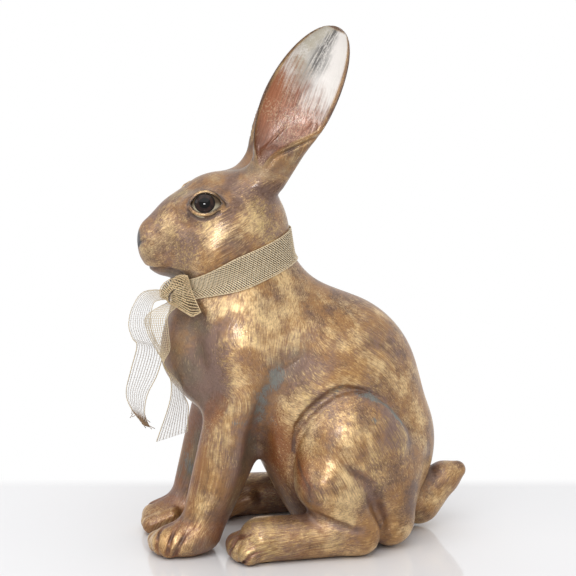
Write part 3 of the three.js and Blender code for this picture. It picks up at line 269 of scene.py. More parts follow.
def egg(p, centre, radii):
    step = (p - centre) / np.asarray(radii, float)
    near = np.linalg.norm(step, axis=1)
    slope = np.linalg.norm(step / radii, axis=1)
    return near * (near - 1) / np.maximum(slope, 1e-6)


def limb(p, a, radius_a, b, radius_b):
    """A cone with a ball at each end."""
    length = np.linalg.norm(b - a)
    axis = (b - a) / length
    taper = (radius_a - radius_b) / length
    step = p - a
    along = step @ axis
    out = np.sqrt(np.maximum((step**2).sum(axis=1) - along**2, 0))
    foot = np.clip(along - out * taper / math.sqrt(1 - taper**2), 0, length)
    return np.hypot(out, along - foot) - radius_a + taper * foot


def blend(reach, first, *others):
    """Forms joined with a fillet of about the given reach."""
    for other in others:
        share = np.maximum(reach - np.abs(first - other), 0) / reach
        first = np.minimum(first, other) - share**2 * reach / 4
    return first


def carve(reach, form, tool):
    """The form without the tool, its edges eased."""
    return -blend(reach, -form, tool)


def slimmed(p, share, middle=0.0):
    """Points spread in x, so that a form measured at them comes out slim."""
    spread = p.copy()
    spread[:, 0] = middle + (p[:, 0] - middle) / share
    return spread


def folded(p):
    """Both sides of the rabbit laid on its left side."""
    left = p.copy()
    left[:, 0] = np.abs(p[:, 0])
    return left


def off_line(p, line, reach):
    """Distance from a broken line, where it is within reach, and the reach elsewhere."""
    line = np.asarray(line, float)
    nearest = np.full(len(p), float(reach))
    near = np.all((p > line.min(axis=0) - reach) & (p < line.max(axis=0) + reach), axis=1)
    q = p[near]
    for a, b in zip(line[:-1], line[1:]):
        axis = b - a
        share = np.clip(((q - a) @ axis) / (axis @ axis), 0, 1)
        nearest[near] = np.minimum(nearest[near], np.linalg.norm(q - a - share[:, None] * axis, axis=1))
    return nearest


def from_ends(p, ends, run):
    """0 at the ends of a line and 1 from a run away from them."""
    return np.clip(np.minimum.reduce([np.linalg.norm(p - end, axis=1) for end in ends]) / run, 0, 1)


# Radii of the balls and eggs that the figure is built up from, and how slim some of them are across.
TORSO_SLIM = 0.76
CHEST_RADIUS = 52
BACK_RADIUS = 79.5
HIP_RADIUS = 78
NECK_SLIM = 0.8
NECK_BASE_RADIUS = 55.5
NECK_TOP_RADIUS = 38
SHOULDER_BLADE_RADII = (23, 27, 44)
LEG_SLIM = 0.8
SHOULDER_RADIUS = 27
WRIST_RADIUS = 17
ELBOW_RADIUS = 12.5
ELBOW_END_RADIUS = 9
PAW_RADII = (18, 26, 13.5)
THIGH_RADII = (30, 43, 51)
KNEE_RADIUS = 24
ANKLE_RADIUS = 18
HAMSTRING_TOP_RADIUS = 23
HAMSTRING_END_RADIUS = 20
HEEL_RADIUS = 16.5
FOOT_BALL_RADIUS = 18
TAIL_BASE_RADIUS = 19.5
TAIL_BEND_RADIUS = 12.5
TAIL_TIP_RADIUS = 7.3


def torso(p):
    q = slimmed(p, TORSO_SLIM)
    front = limb(q, CHEST, CHEST_RADIUS, BACK, BACK_RADIUS)
    return TORSO_SLIM * blend(8, front, limb(q, BACK, BACK_RADIUS, HIP, HIP_RADIUS))


def neck(p):
    return NECK_SLIM * limb(slimmed(p, NECK_SLIM), NECK_BASE, NECK_BASE_RADIUS, NECK_TOP, NECK_TOP_RADIUS)


PAW_TIP = np.array([PAW[0], PAW[1] - 26.5, SOLE + 7.5])
PAW_TURN = math.radians(17.0)
FOOT_TURN = math.radians(13.0)


def turned(turn):
    """The ways ahead and outwards of a foot that is turned out."""
    return np.array([math.sin(turn), -math.cos(turn), 0.0]), np.array([math.cos(turn), math.sin(turn), 0.0])


def toes(p, tip, width, radius, length, rise, turn):
    """Four toes side by side, reaching back from their tips."""
    ahead, outwards = turned(turn)
    form = None
    for side in (-1, -1 / 3, 1 / 3, 1):
        front = tip + side * (width / 2 - radius) * outwards - (radius + 3 * side**2) * ahead
        back = front - length * ahead - side * radius * 0.5 * outwards + (0, 0, rise)
        toe = limb(p, front, radius, back, radius * 0.92)
        form = toe if form is None else blend(1.0, form, toe)
    return form


def foreleg(p):
    """A left foreleg with its paw, before the shoulder is filled in."""
    q = slimmed(p, LEG_SLIM, SHOULDER[0])
    upper = LEG_SLIM * limb(q, SHOULDER, SHOULDER_RADIUS, WRIST, WRIST_RADIUS)
    upper = blend(8, upper, limb(p, ELBOW, ELBOW_RADIUS, ELBOW_END, ELBOW_END_RADIUS))
    upper = carve(3, upper, -((p - LEG_SHIN) @ LEG_SHIN_OUT))
    paw = egg(p, PAW, PAW_RADII)
    paw_toes = toes(p, PAW_TIP, width=38, radius=7.2, length=17, rise=7, turn=PAW_TURN)
    return blend(3, blend(12, upper, paw), paw_toes)


def haunch(p):
    """A left hind leg: thigh, drumstick, hamstring, foot and toes."""
    thigh = egg(p, THIGH, THIGH_RADII)
    drumstick = limb(p, KNEE, KNEE_RADIUS, ANKLE, ANKLE_RADIUS)
    hamstring = limb(p, HAMSTRING_TOP, HAMSTRING_TOP_RADIUS, HAMSTRING_END, HAMSTRING_END_RADIUS)
    foot = limb(p, HEEL, HEEL_RADIUS, FOOT_BALL, FOOT_BALL_RADIUS)
    leg = blend(6, blend(9, thigh, drumstick, foot), hamstring)
    return blend(4, leg, toes(p, HIND_TOES, width=43, radius=9.4, length=22, rise=8, turn=FOOT_TURN))


def tail(p):
    low = limb(p, TAIL_BASE, TAIL_BASE_RADIUS, TAIL_BEND, TAIL_BEND_RADIUS)
    return blend(5, low, limb(p, TAIL_BEND, TAIL_BEND_RADIUS, TAIL_TIP, TAIL_TIP_RADIUS))


def on_left(form, steps):
    """Points on a form's left skin, given as steps back and up from the hip's centre."""
    start = np.array([[120.0, HIP[1] + back, HIP[2] + up] for back, up in steps])
    for _ in range(60):
        start[:, 0] -= np.maximum(form(start), 0) * 0.8
    return start


def onto(form, line):
    """A line of points moved onto a form's skin."""
    for _ in range(10):
        value, slope = slope_of(form, line)
        line = line - (value / (slope**2).sum(axis=1))[:, None] * slope
    return line


def slope_of(form, points):
    """A form's value and its slope at points near its surface."""
    step = 0.15
    value = form(points)
    slope = np.stack([(form(points + step * axis) - value) / step for axis in np.eye(3)], axis=1)
    length = np.maximum(np.linalg.norm(slope, axis=1), 1e-3)
    return value, slope * np.maximum(1, 0.3 / length)[:, None]


def trunk(p):
    """Torso and neck, with the belly drawn up behind the forelegs."""
    ahead = []
    for (back_a, up_a), (back_b, up_b) in BELLY_LINES:
        run = math.hypot(back_b - back_a, up_b - up_a)
        back = p[:, 1] - HIP[1] - back_a
        up = p[:, 2] - HIP[2] - up_a
        ahead.append((back * (up_b - up_a) - up * (back_b - back_a)) / run)
    return blend(30, carve(14, torso(p), -np.minimum(*ahead)), neck(p))


def shouldered(p):
    blade = egg(p, SHOULDER_BLADE, SHOULDER_BLADE_RADII)
    return blend(11, blend(22, trunk(p), blade), foreleg(p))


FLANK_LINE = on_left(shouldered, FLANK_HOLLOW)
CHEST_LINE = on_left(shouldered, CHEST_HOLLOW)
THIGH_LINE = on_left(lambda p: np.minimum(trunk(p), haunch(p)), THIGH_CREASE)
CALF_LINE = on_left(haunch, CALF_CREASE)
INSTEP_LINE = on_left(haunch, INSTEP_CREASE)


def cleft(form, steps, middle):
    """A line between toes, on a foot's outer side."""
    line = on_left(form, steps)
    line[:, 0] = np.maximum(line[:, 0], middle)
    return onto(form, line)


PAW_CLEFTS = [cleft(foreleg, steps, PAW[0]) for steps in PAW_CLEFT_STEPS]
FOOT_CLEFTS = [cleft(haunch, steps, HIND_TOES[0]) for steps in FOOT_CLEFT_STEPS]


def body_form(p):
    """The whole figure below the head."""
    q = folded(p)
    up = q[:, 2] - HIP[2]
    form = shouldered(q)
    form = carve(22, form, off_line(q, FLANK_LINE, 40) + 21 - 22.5 * np.clip((86 - up) / 66, 0, 1) ** 0.8)
    form = carve(30, form, off_line(q, CHEST_LINE, 50) + 4)
    for line in PAW_CLEFTS:
        form = carve(3.2, form, off_line(q, line, 8) + 1.0 - 1.5 * from_ends(q, line[-1:], 12))
    front = np.clip((HIP[1] - 15 - q[:, 1]) / 15, 0, 1)
    groove = 3.9 - 4.9 * front * (1 - np.clip((up - 6) / 34, 0, 1))
    form = carve(2.8, form, off_line(q, THIGH_LINE, 26) - groove)
    leg = haunch(q)
    leg = carve(9, leg, off_line(q, CALF_LINE, 24) + 3 - 4 * np.clip((3 - up) / 18, 0, 1))
    leg = carve(6, leg, off_line(q, INSTEP_LINE, 18) + 1.2 - 2 * from_ends(q, INSTEP_LINE[[0, -1]], 12))
    for line in FOOT_CLEFTS:
        leg = carve(2.4, leg, off_line(q, line, 8) + 0.8 - 1.6 * from_ends(q, line[-1:], 12))
    rear = np.clip((q[:, 1] - HIP[1] - 18 - 28 * np.clip(up / 20, 0, 1)) / 40, 0, 1)
    form = blend(1.4 + 24 * rear, form, leg)
    form = blend(6, form, tail(q))
    return carve(1.2, form, p[:, 2] - SOLE)


def skin_of(form, low, high, cell):
    """The surface of a form: a point in each grid cell that it crosses, moved onto it, and triangles."""
    block = 8
    low = np.asarray(low, float)
    blocks = np.ceil((np.asarray(high) - low) / (cell * block)).astype(int)
    middles = np.stack(np.meshgrid(*[np.arange(n) for n in blocks], indexing="ij"), axis=-1).reshape(-1, 3)
    rough = form(low + (middles * block + (block - 1) / 2) * cell).reshape(blocks)
    near = np.abs(rough) < 1.6 * block * cell
    values = rough
    for axis in range(3):
        values = np.repeat(values, block, axis=axis)
        near = np.repeat(near, block, axis=axis)
    places = np.argwhere(near)
    batches = np.array_split(places, len(places) // 150000 + 1)
    values[near] = np.concatenate([form(low + batch * cell) for batch in batches])
    inside = values < 0

    corner_sum = np.zeros(np.array(values.shape) - 1, np.uint8)
    corners = [(i, j, k) for i in (0, 1) for j in (0, 1) for k in (0, 1)]
    size = corner_sum.shape
    for i, j, k in corners:
        corner_sum += inside[i:i + size[0], j:j + size[1], k:k + size[2]]
    cells = np.argwhere((corner_sum > 0) & (corner_sum < 8))
    point_at = np.full(size, -1)
    point_at[tuple(cells.T)] = np.arange(len(cells))

    total = np.zeros((len(cells), 3))
    crossings = np.zeros(len(cells))
    for corner in corners:
        for axis in range(3):
            if corner[axis]:
                continue
            step = np.eye(3, dtype=int)[axis]
            first = values[tuple((cells + corner).T)]
            second = values[tuple((cells + corner + step).T)]
            crossed = (first < 0) != (second < 0)
            share = np.where(crossed, first / np.where(crossed, first - second, 1), 0)
            total += crossed[:, None] * (np.array(corner) + share[:, None] * step)
            crossings += crossed
    points = low + (cells + total / crossings[:, None]) * cell

    quads = []
    for axis in range(3):
        step = np.eye(3, dtype=int)[axis]
        u = np.eye(3, dtype=int)[(axis + 1) % 3]
        v = np.eye(3, dtype=int)[(axis + 2) % 3]
        ahead = np.roll(inside, -1, axis=axis)
        at = np.argwhere(inside != ahead)
        at = at[np.all((at >= u + v) & (at < np.array(size)), axis=1)]
        ring = np.stack([point_at[tuple(c.T)] for c in (at, at - u, at - u - v, at - v)], axis=1)
        flip = ~inside[tuple(at.T)]
        ring[flip] = ring[flip][:, ::-1]
        quads.append(ring[(ring >= 0).all(axis=1)])
    quads = np.concatenate(quads)
    for _ in range(3):
        value, slope = slope_of(form, points)
        move = np.clip(value / (slope**2).sum(axis=1), -0.6 * cell, 0.6 * cell)
        points = points - move[:, None] * slope
    a, b, c, d = quads.T
    short = np.linalg.norm(points[a] - points[c], axis=1) < np.linalg.norm(points[b] - points[d], axis=1)
    first = np.where(short[:, None], np.stack([a, b, c], 1), np.stack([a, b, d], 1))
    second = np.where(short[:, None], np.stack([a, c, d], 1), np.stack([b, c, d], 1))
    return points, np.concatenate([first, second])


def parted(points, triangles, values):
    """A skin cut along the line where the values change sign: all points, the part below 0 and the rest."""
    below = values[triangles] < 0
    count = below.sum(axis=1)
    cut = (count == 1) | (count == 2)
    mixed = triangles[cut]
    lone = np.where(count[cut] == 1, below[cut].argmax(axis=1), (~below[cut]).argmax(axis=1))
    a, b, c = np.take_along_axis(mixed, (lone[:, None] + np.arange(3)) % 3, axis=1).T
    edges = np.sort(np.concatenate([np.stack([a, b], 1), np.stack([a, c], 1)]), axis=1)
    edges, which = np.unique(edges, axis=0, return_inverse=True)
    first, second = values[edges[:, 0]], values[edges[:, 1]]
    share = (first / (first - second))[:, None]
    crossing = points[edges[:, 0]] * (1 - share) + points[edges[:, 1]] * share
    which = which.ravel() + len(points)
    ab, ac = which[:len(a)], which[len(a):]
    tip = np.stack([a, ab, ac], 1)
    foot = np.concatenate([np.stack([ab, b, c], 1), np.stack([ab, c, ac], 1)])
    tip_below = count[cut] == 1
    foot_below = np.tile(~tip_below, 2)
    part = np.concatenate([triangles[count == 3], tip[tip_below], foot[foot_below]])
    rest = np.concatenate([triangles[count == 0], tip[~tip_below], foot[~foot_below]])
    return np.concatenate([points, crossing]), part, rest


def closed(points, triangles):
    """A parted skin with a fan of triangles over each of its openings, and only its own points."""
    used, triangles = np.unique(triangles, return_inverse=True)
    triangles = triangles.reshape(-1, 3)
    points = points[used]
    edges = np.concatenate([triangles[:, [0, 1]], triangles[:, [1, 2]], triangles[:, [2, 0]]])
    forward = edges[:, 0] * len(points) + edges[:, 1]
    back = edges[:, 1] * len(points) + edges[:, 0]
    rim = dict(edges[~np.isin(forward, back)].tolist())
    fans = []
    centres = []
    while rim:
        start = next(iter(rim))
        loop = [start]
        while rim.get(loop[-1], start) != start:
            loop.append(rim.pop(loop[-1]))
        rim.pop(loop[-1], None)
        centre = len(points) + len(centres)
        centres.append(points[loop].mean(axis=0))
        fans += [(b, a, centre) for a, b in zip(loop, loop[1:] + loop[:1])]
    if centres:
        points = np.concatenate([points, np.array(centres)])
        triangles = np.concatenate([triangles, np.array(fans)])
    return points, triangles


def piece_of(name, points, faces, replaced, material, marks=None, normals=None):
    """A mesh in the rabbit's frame that stands for CAD nodes, with numbers or vectors at its points."""
    mesh = bpy.data.meshes.new(name)
    mesh.vertices.add(len(points))
    mesh.vertices.foreach_set("co", (points * MM).ravel())
    mesh.loops.add(faces.size)
    mesh.loops.foreach_set("vertex_index", faces.ravel().astype(np.int32))
    mesh.polygons.add(len(faces))
    mesh.polygons.foreach_set("loop_start", np.arange(0, faces.size, faces.shape[1], dtype=np.int32))
    mesh.update(calc_edges=True)
    mesh.polygons.foreach_set("use_smooth", np.ones(len(faces), bool))
    for key, value in (marks or {}).items():
        kind, field = ("FLOAT", "value") if value.ndim == 1 else ("FLOAT_VECTOR", "vector")
        mesh.attributes.new(key, kind, "POINT").data.foreach_set(field, value.astype(np.float32).ravel())
    if normals is not None:
        mesh.normals_split_custom_set_from_vertices(normals.tolist())
    mesh.materials.append(material)
    made = bpy.data.objects.new(name, mesh)
    bpy.context.scene.collection.objects.link(made)
    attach(made, "root")
    if replaced:
        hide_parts(*replaced)
    return made


STROKE_WIDTH = 1.3
STROKE_LENGTH = 70.0


def brushed(p, directions):
    """Where a brush stroke lies: coordinates that run slowly along the stroke and quickly across it."""
    p = p - HIP
    p = p + 3.0 * np.sin(p[:, [1, 2, 0]] / 21) + 0.5 * np.sin(p[:, [2, 0, 1]] / 5)
    total = p / STROKE_WIDTH
    weights = sum(weight for weight, _ in directions)
    for weight, direction in directions:
        d = np.asarray(direction, float) / np.linalg.norm(direction)
        along = (weight / weights * (p @ d) * (1 / STROKE_LENGTH - 1 / STROKE_WIDTH))[:, None]
        total = total + along * d
    return total


def wear_and_occlusion_shade(form, points, normals):
    """How far a point lies in a hollow, in a crease and on a ridge, from 0 to 1, for painted occlusion shade
    and rubbed gold.
    """
    hollow = 1 - np.clip(form(points + 11 * normals) / 11, 0, 1)
    crease = 1 - np.clip(form(points + 3 * normals) / 3, 0, 1)
    ridge = np.clip(1 + form(points - 7 * normals) / 7, 0, 1)
    return {"hollow": hollow, "crease": crease, "ridge": ridge}


PALE_GOLD = tone(236, 203, 148)
GOLD = tone(204, 157, 90)
OLIVE_GOLD = tone(174, 147, 84)
BRONZE = tone(154, 110, 62)
UMBER = tone(88, 58, 40)
MAUVE = tone(130, 101, 88)
SLATE_OLIVE = tone(112, 102, 82)
RUST = tone(140, 78, 32)
VERDIGRIS = tone(120, 130, 126)
RIBBON_SHADOW = tone(44, 33, 25)
BRUSH_RELIEF = 0.45
BRUSH_DEPTH = 0.8
LACQUER = 0.35
LACQUER_ROUGHNESS = 0.2


def gilding(tree):
    """Gold wax dry-brushed over umber resin, darkened where shade is painted in: colour, metal, roughness
    and relief sockets.
    """
    where = place_on(tree)
    keys = ("brush", "hollow", "crease", "ridge", "moss", "dusk", "rust", "shade", "bare")
    mark = {key: add(tree, "ShaderNodeAttribute", attribute_name=key) for key in keys}
    brush = mark["brush"].outputs["Vector"]
    hollow, crease, ridge, moss, dusk, rust, shade, bare = (mark[key].outputs["Fac"] for key in keys[1:])

    def noise(vector, scale, detail, seed, roughness=0.55):
        sockets = {"Vector": vector, "Scale": scale, "Detail": detail, "Roughness": roughness, "W": seed}
        return add(tree, "ShaderNodeTexNoise", sockets, noise_dimensions="4D").outputs["Fac"]

    def sum_of(*terms):
        total = None
        for value, weight in terms:
            part = math_of(tree, "MULTIPLY", value, weight)
            total = part if total is None else math_of(tree, "ADD", total, part)
        return total

    patches = noise(where, 24.0, 3.0, 1.0)
    clouds = noise(where, 62.0, 3.0, 2.0, 0.58)
    stains = noise(where, 19.0, 4.0, 3.0, 0.58)
    smudges = noise(where, 44.0, 4.0, 4.0, 0.6)
    mottle = noise(where, 190.0, 2.0, 5.0, 0.5)
    strokes = noise(brush, 0.8, 3.0, 6.0, 0.55)
    hairs = noise(brush, 1.7, 2.0, 7.0, 0.5)
    dark_hairs = noise(brush, 1.4, 2.0, 8.0, 0.5)
    grains = noise(where, 900.0, 2.0, 9.0, 0.6)
    specks = noise(where, 420.0, 3.0, 10.0, 0.6)

    # Painted shade: the creases and the marked shade lines.
    dark = math_of(tree, "MAXIMUM", crease, shade)
    broad = sum_of((patches, 0.42), (clouds, 0.40), (mottle, 0.14), (strokes, 0.34))
    fine = sum_of((hairs, 0.20), (specks, 0.18), (grains, 0.18), (ridge, 0.08))
    # Painted shade: less gold in hollows, in creases and on sides turned from the light.
    wax = sum_of((broad, 1.0), (fine, 1.0), (dusk, -0.1), (dark, -0.25), (hollow, -0.1))
    gold_share = ramp(tree, wax, 0.80, 1.11)
    under = mix(tree, ramp(tree, sum_of((stains, 0.75), (mottle, 0.25)), 0.42, 0.58), BRONZE, MAUVE)
    smeared = ramp(tree, sum_of((smudges, 0.7), (specks, 0.3)), 0.46, 0.62)
    under = wash(tree, under, smeared, 0.9, UMBER)
    over = mix(tree, ramp(tree, sum_of((clouds, 0.5), (patches, 0.5)), 0.42, 0.60), GOLD, PALE_GOLD)
    over = wash(tree, over, ramp(tree, stains, 0.50, 0.64), 0.6, OLIVE_GOLD)
    colour = mix(tree, gold_share, under, over)
    dragged = ramp(tree, sum_of((smudges, 0.6), (strokes, 0.4)), 0.535, 0.60)
    colour = wash(tree, colour, dragged, 0.36, MAUVE)

    # Painted shade and mauve: a mauve-olive wash over sides turned from the light and over mauve patches.
    mauve_and_shade_amount = sum_of((dusk, 0.5), (stains, 0.5), (clouds, 0.5), (mottle, 0.4))
    mauve_and_shade_share = ramp(tree, mauve_and_shade_amount, 0.78, 1.22)
    mauve_and_shade_tone = mix(tree, ramp(tree, patches, 0.42, 0.58), MAUVE, SLATE_OLIVE)
    colour = wash(tree, colour, mauve_and_shade_share, 0.62, mauve_and_shade_tone)
    streaked = sum_of((rust, 0.6), (dark_hairs, 0.6), (clouds, 0.3), (dark, 0.3))
    rust_share = ramp(tree, streaked, 0.66, 1.05)
    colour = wash(tree, colour, rust_share, 0.85, RUST)
    # Painted shade: umber in the creases and along the shade lines.
    crease_shade_share = ramp(tree, sum_of((dark, 1.0), (mottle, 0.5)), 0.50, 1.05)
    colour = wash(tree, colour, crease_shade_share, 0.9, UMBER)
    lodged = sum_of((smudges, 0.45), (dark_hairs, 0.5), (mottle, 0.25), (moss, 0.29))
    green_share = ramp(tree, lodged, 0.81, 0.88)
    colour = wash(tree, colour, green_share, 0.68, VERDIGRIS)
    scored = ramp(tree, sum_of((dark_hairs, 0.8), (grains, 0.2)), 0.54, 0.62)
    colour = wash(tree, colour, scored, 0.42, UMBER)
    light_share = ramp(tree, sum_of((hairs, 0.8), (grains, 0.2)), 0.55, 0.63)
    light_share = math_of(tree, "MULTIPLY", light_share, sum_of((gold_share, 0.7), (mottle, 0.5)))
    colour = wash(tree, colour, light_share, 0.48, PALE_GOLD)
    # Painted shadow of the ribbon: near-black resin under it, seen through the weave.
    colour = mix(tree, bare, colour, RIBBON_SHADOW)

    dull = sum_of((green_share, 0.35), (crease_shade_share, 0.2), (mauve_and_shade_share, 0.12), (bare, 0.5))
    metal = math_of(tree, "SUBTRACT", sum_of((gold_share, 0.4), (mottle, 0.6)), dull)
    rough = sum_of((strokes, 0.16), (mottle, 0.2), (green_share, 0.2), (gold_share, -0.14))
    rough = math_of(tree, "ADD", rough, 0.32)
    height = sum_of((strokes, 0.4), (hairs, 0.25), (mottle, 0.35), (specks, 0.1))
    sockets = {"Strength": BRUSH_RELIEF, "Distance": BRUSH_DEPTH * MM, "Height": height}
    relief = add(tree, "ShaderNodeBump", sockets).outputs[0]
    return colour, metal, rough, relief


def gild(shader, tree, colour, metal, rough, relief):
    tree.links.new(colour, shader.inputs["Base Color"])
    tree.links.new(metal, shader.inputs["Metallic"])
    tree.links.new(rough, shader.inputs["Roughness"])
    tree.links.new(relief, shader.inputs["Normal"])
    tree.links.new(relief, shader.inputs["Coat Normal"])
    shader.inputs["Coat Weight"].default_value = LACQUER
    shader.inputs["Coat Roughness"].default_value = LACQUER_ROUGHNESS


aged_gold, tree, shader = finish("aged_gold")
gild(shader, tree, *gilding(tree))

points, triangles = skin_of(body_form, HIP + (-95, -175, -77), HIP + (95, 115, 160), BODY_CELL)

# Forelegs: solid castings with a paw and four toes. Each is pinned by a dowel and bonded under its shoulder,
# on a joint that lies square to the leg.
q = folded(points)
seam = (q - LEG_SEAM) @ LEG_AXIS
apart = foreleg(q) - np.minimum(trunk(q), haunch(q))
points, forelegs, rest = parted(points, triangles, np.maximum(seam, apart))

# Haunches: solid castings of thigh, drumstick, hamstring and long foot, bonded on the torso's sides. The
# joint is filled at the rump and left open as a crease round the thigh.
q = folded(points)
points, haunches, rest = parted(points, rest, haunch(q) - np.minimum(shouldered(q), tail(q)))

# Tail: a small solid casting in resin, turned up at its tip. It is pinned by a dowel and bonded behind the
# hip, over the rump.
q = folded(points)
points, tails, rest = parted(points, rest, tail(q) - np.minimum(shouldered(q), haunch(q)))

NECK_TILT = math.radians(20.0)
NECK_NORMAL = np.array([0.0, -math.sin(NECK_TILT), math.cos(NECK_TILT)])
NECK_FRONT = np.array([0.0, -math.cos(NECK_TILT), -math.sin(NECK_TILT)])
COLLAR_MIDDLE = NECK_BASE + (NECK_TOP - NECK_BASE) * 59 / 83
points, bodies, _ = parted(points, rest, (points - COLLAR_MIDDLE) @ NECK_NORMAL + 0.2)


def body_brush(p):
    """Stroke directions of the brush over the figure below the head."""
    q = folded(p)
    low = np.clip((HIP[2] - 25 - q[:, 2]) / 25, 0, 1)

    def nearness(form):
        return np.exp(-np.maximum(form(q), 0) / 6) + 1e-6

    return brushed(q, [
        (nearness(torso), (0, 0.8, -0.6)),
        (nearness(neck), (0.1, 0.25, -0.96)),
        (nearness(foreleg), LEG_AXIS),
        (nearness(haunch) * (1 - low), (0.1, 0.35, -0.93)),
        (nearness(haunch) * low, (0, 1, 0.15)),
        (nearness(tail), TAIL_TIP - TAIL_BASE),
    ])


def near_to(distance, width):
    return np.exp(-((distance / width) ** 2))


def gathered(forward):
    """The share of its width that the ribbon keeps, by how far forward it lies, from -1 to 1."""
    forward = np.clip(forward, 0, 1)
    return 1 - 0.4 * forward * forward * (3 - 2 * forward)


def under_ribbon(p):
    """1 under the ribbon, where its shadow is painted in near-black, and 0 elsewhere."""
    step = p - COLLAR_MIDDLE
    ahead = step @ NECK_FRONT
    forward = ahead / np.maximum(np.hypot(ahead, step[:, 0]), 1e-6)
    return np.clip((11.2 * gathered(forward) - np.abs(step @ NECK_NORMAL)) / 0.8, 0, 1)


def spot(q, middle, radii):
    """A soft-edged patch round a point given from the hip's centre."""
    return near_to(np.linalg.norm((q - HIP - middle) / radii, axis=1), 1)


def body_marks(p, normals):
    """Where the figure below the head has verdigris, rust, a mauve wash, painted shade and the ribbon's
    painted shadow.
    """
    q = folded(p)
    back, up = (q[:, 1] - HIP[1], q[:, 2] - HIP[2])
    outward = normals.copy()
    outward[:, 0] *= np.sign(p[:, 0])
    inner = np.clip(-outward[:, 0] / 0.4, 0, 1) * np.clip((up + 50) / 20, 0.4, 1)
    moss = np.maximum.reduce([
        near_to(off_line(q, FLANK_LINE[1:], 40), 10), near_to(off_line(q, THIGH_LINE[8:15], 40), 6),
        0.9 * spot(q, (66, -36, -26), (16, 9, 18)), spot(q, (50, -90, 33), (20, 12, 5)),
        0.8 * spot(q, (75, 14, 36), (20, 9, 6)), 0.7 * spot(q, (60, -66, 30), (30, 9, 24)), 0.6 * inner,
    ])
    leg = np.clip(1 - foreleg(q) / 3, 0, 1)
    behind = leg * np.clip((outward @ LEG_SHIN_OUT - 0.5) / 0.3, 0, 1)
    ahead = leg * np.clip((-outward[:, 1] - 0.4) / 0.3, 0, 1) * np.clip((up + 52) / 12, 0, 1)
    breast = np.clip((-102 - back) / 14, 0, 1) * np.clip((up - 34) / 16, 0, 1)
    breast = breast * np.clip((132 - up) / 30, 0, 1)
    flank = near_to(off_line(q, FLANK_LINE[:3], 40), 16)
    # Painted shade with a mauve wash: the foreleg's rear plane, the breast, the forelegs' fronts, the far
    # legs' inner sides and the flank hollow, and two mauve patches.
    dusk = np.maximum.reduce([
        0.85 * behind, 0.8 * breast, 0.4 * ahead, inner, 0.7 * flank,
        0.4 * spot(q, (40, -100, 112), (30, 18, 8)), 0.6 * spot(q, (70, -22, 16), (20, 9, 14)),
    ])
    toe = np.clip((14 - (q[:, 2] - SOLE)) / 14, 0, 1) * np.clip((-66 - back) / 20, 0, 1)
    foot = np.clip((-40 - up) / 8, 0, 1) * np.clip((-8 - back) / 20, 0, 1)
    rust = np.maximum.reduce([
        spot(q, (48, -58, 5), (30, 11, 46)), 0.8 * spot(q, (66, -44, 0), (24, 9, 32)), 0.7 * toe,
        0.6 * spot(q, (56, -82, -30), (30, 12, 10)), 0.5 * foot, 0.55 * ahead,
    ])
    lines = [
        # line, its ends that fade out, the width and the depth of its dark wash
        (THIGH_LINE, THIGH_LINE[[0, -1]], 2.0, 1.0), (THIGH_LINE, THIGH_LINE[[0, -1]], 6, 0.4),
        (CALF_LINE, CALF_LINE[:1], 3.0, 0.9), (INSTEP_LINE, INSTEP_LINE[[0, -1]], 5, 0.35),
        (FLANK_LINE[1:], FLANK_LINE[1:2], 9, 0.7),
    ]
    lines += [(line, line[-1:], 1.7, 0.36) for line in PAW_CLEFTS + FOOT_CLEFTS]
    shade = np.maximum.reduce([
        depth * near_to(off_line(q, line, 30), width) * from_ends(q, ends, 12)
        for line, ends, width, depth in lines
    ])
    # Painted shade on the far legs' inner sides too.
    shade = np.maximum(shade, 0.3 * inner)
    return {"moss": moss, "dusk": dusk, "rust": rust, "shade": shade, "bare": under_ribbon(p)}


def sculpted(name, points, triangles, form, brush, replaced, material, extra):
    """A casting cut from a sculpted form, closed, with its rubbed gold, painted occlusion shade and brush
    marks.
    """
    points, triangles = closed(points, triangles)
    _, slope = slope_of(form, points)
    normals = slope / np.linalg.norm(slope, axis=1)[:, None]
    marks = wear_and_occlusion_shade(form, points, normals)
    marks["brush"] = brush(points)
    marks.update(extra(points, normals))
    return piece_of(name, points, triangles, replaced, material, marks, normals)


def side_of(points, triangles, side):
    return triangles[points[triangles[:, 0], 0] * side > 0]


sculpted(
    "gilded_body", points, bodies, body_form, body_brush, ["body_casting"], aged_gold,
    body_marks,
)
sculpted("gilded_tail", points, tails, body_form, body_brush, ["tail"], aged_gold, body_marks)
for side, word in ((1, "left"), (-1, "right")):
    for part, skin in (("foreleg", forelegs), ("haunch", haunches)):
        sculpted(
            f"gilded_{word}_{part}", points, side_of(points, skin, side), body_form, body_brush,
            [f"{word}_{part}"], aged_gold, body_marks,
        )

# Head casting: skull, muzzle, cheeks, eyelids and ear roots in hollow resin, bonded on the neck under the
# ribbon. The nose is a slate-grey pad, and the ears are sculpted with it and parted at their roots.
HEAD_CELL = 0.95
SKULL = NECK_TOP + (0, -4, 4)
MUZZLE = SKULL + (0, -47, -12)
BRIDGE_TOP = SKULL + (0, -14, 16)
BRIDGE_END = MUZZLE + (0, -8, 10)
CHEEK = SKULL + (15, -16, -17)
JAW_FRONT = SKULL + (0, -49, -25.5)
JAW_BACK = SKULL + (0, -28, -24)
EYE_POINT = SKULL + (32.23, -23, 24)
EYE_OUT = np.array([0.959, -0.196, 0.204])
EYE_BACK = np.cross(np.cross(EYE_OUT, (0, 1, 0)), EYE_OUT)
EYE_BACK = EYE_BACK / np.linalg.norm(EYE_BACK)
EYE_UP = np.cross(EYE_OUT, EYE_BACK)
EYE_AXES = np.stack([EYE_BACK, EYE_UP, EYE_OUT])
EYE_BALL_RADIUS = 12.92
EYE_BALL = EYE_POINT + EYE_OUT * (3.6 - EYE_BALL_RADIUS)
EYE_REAR_STRETCH = 1.28
EAR_SEAM = 7.0

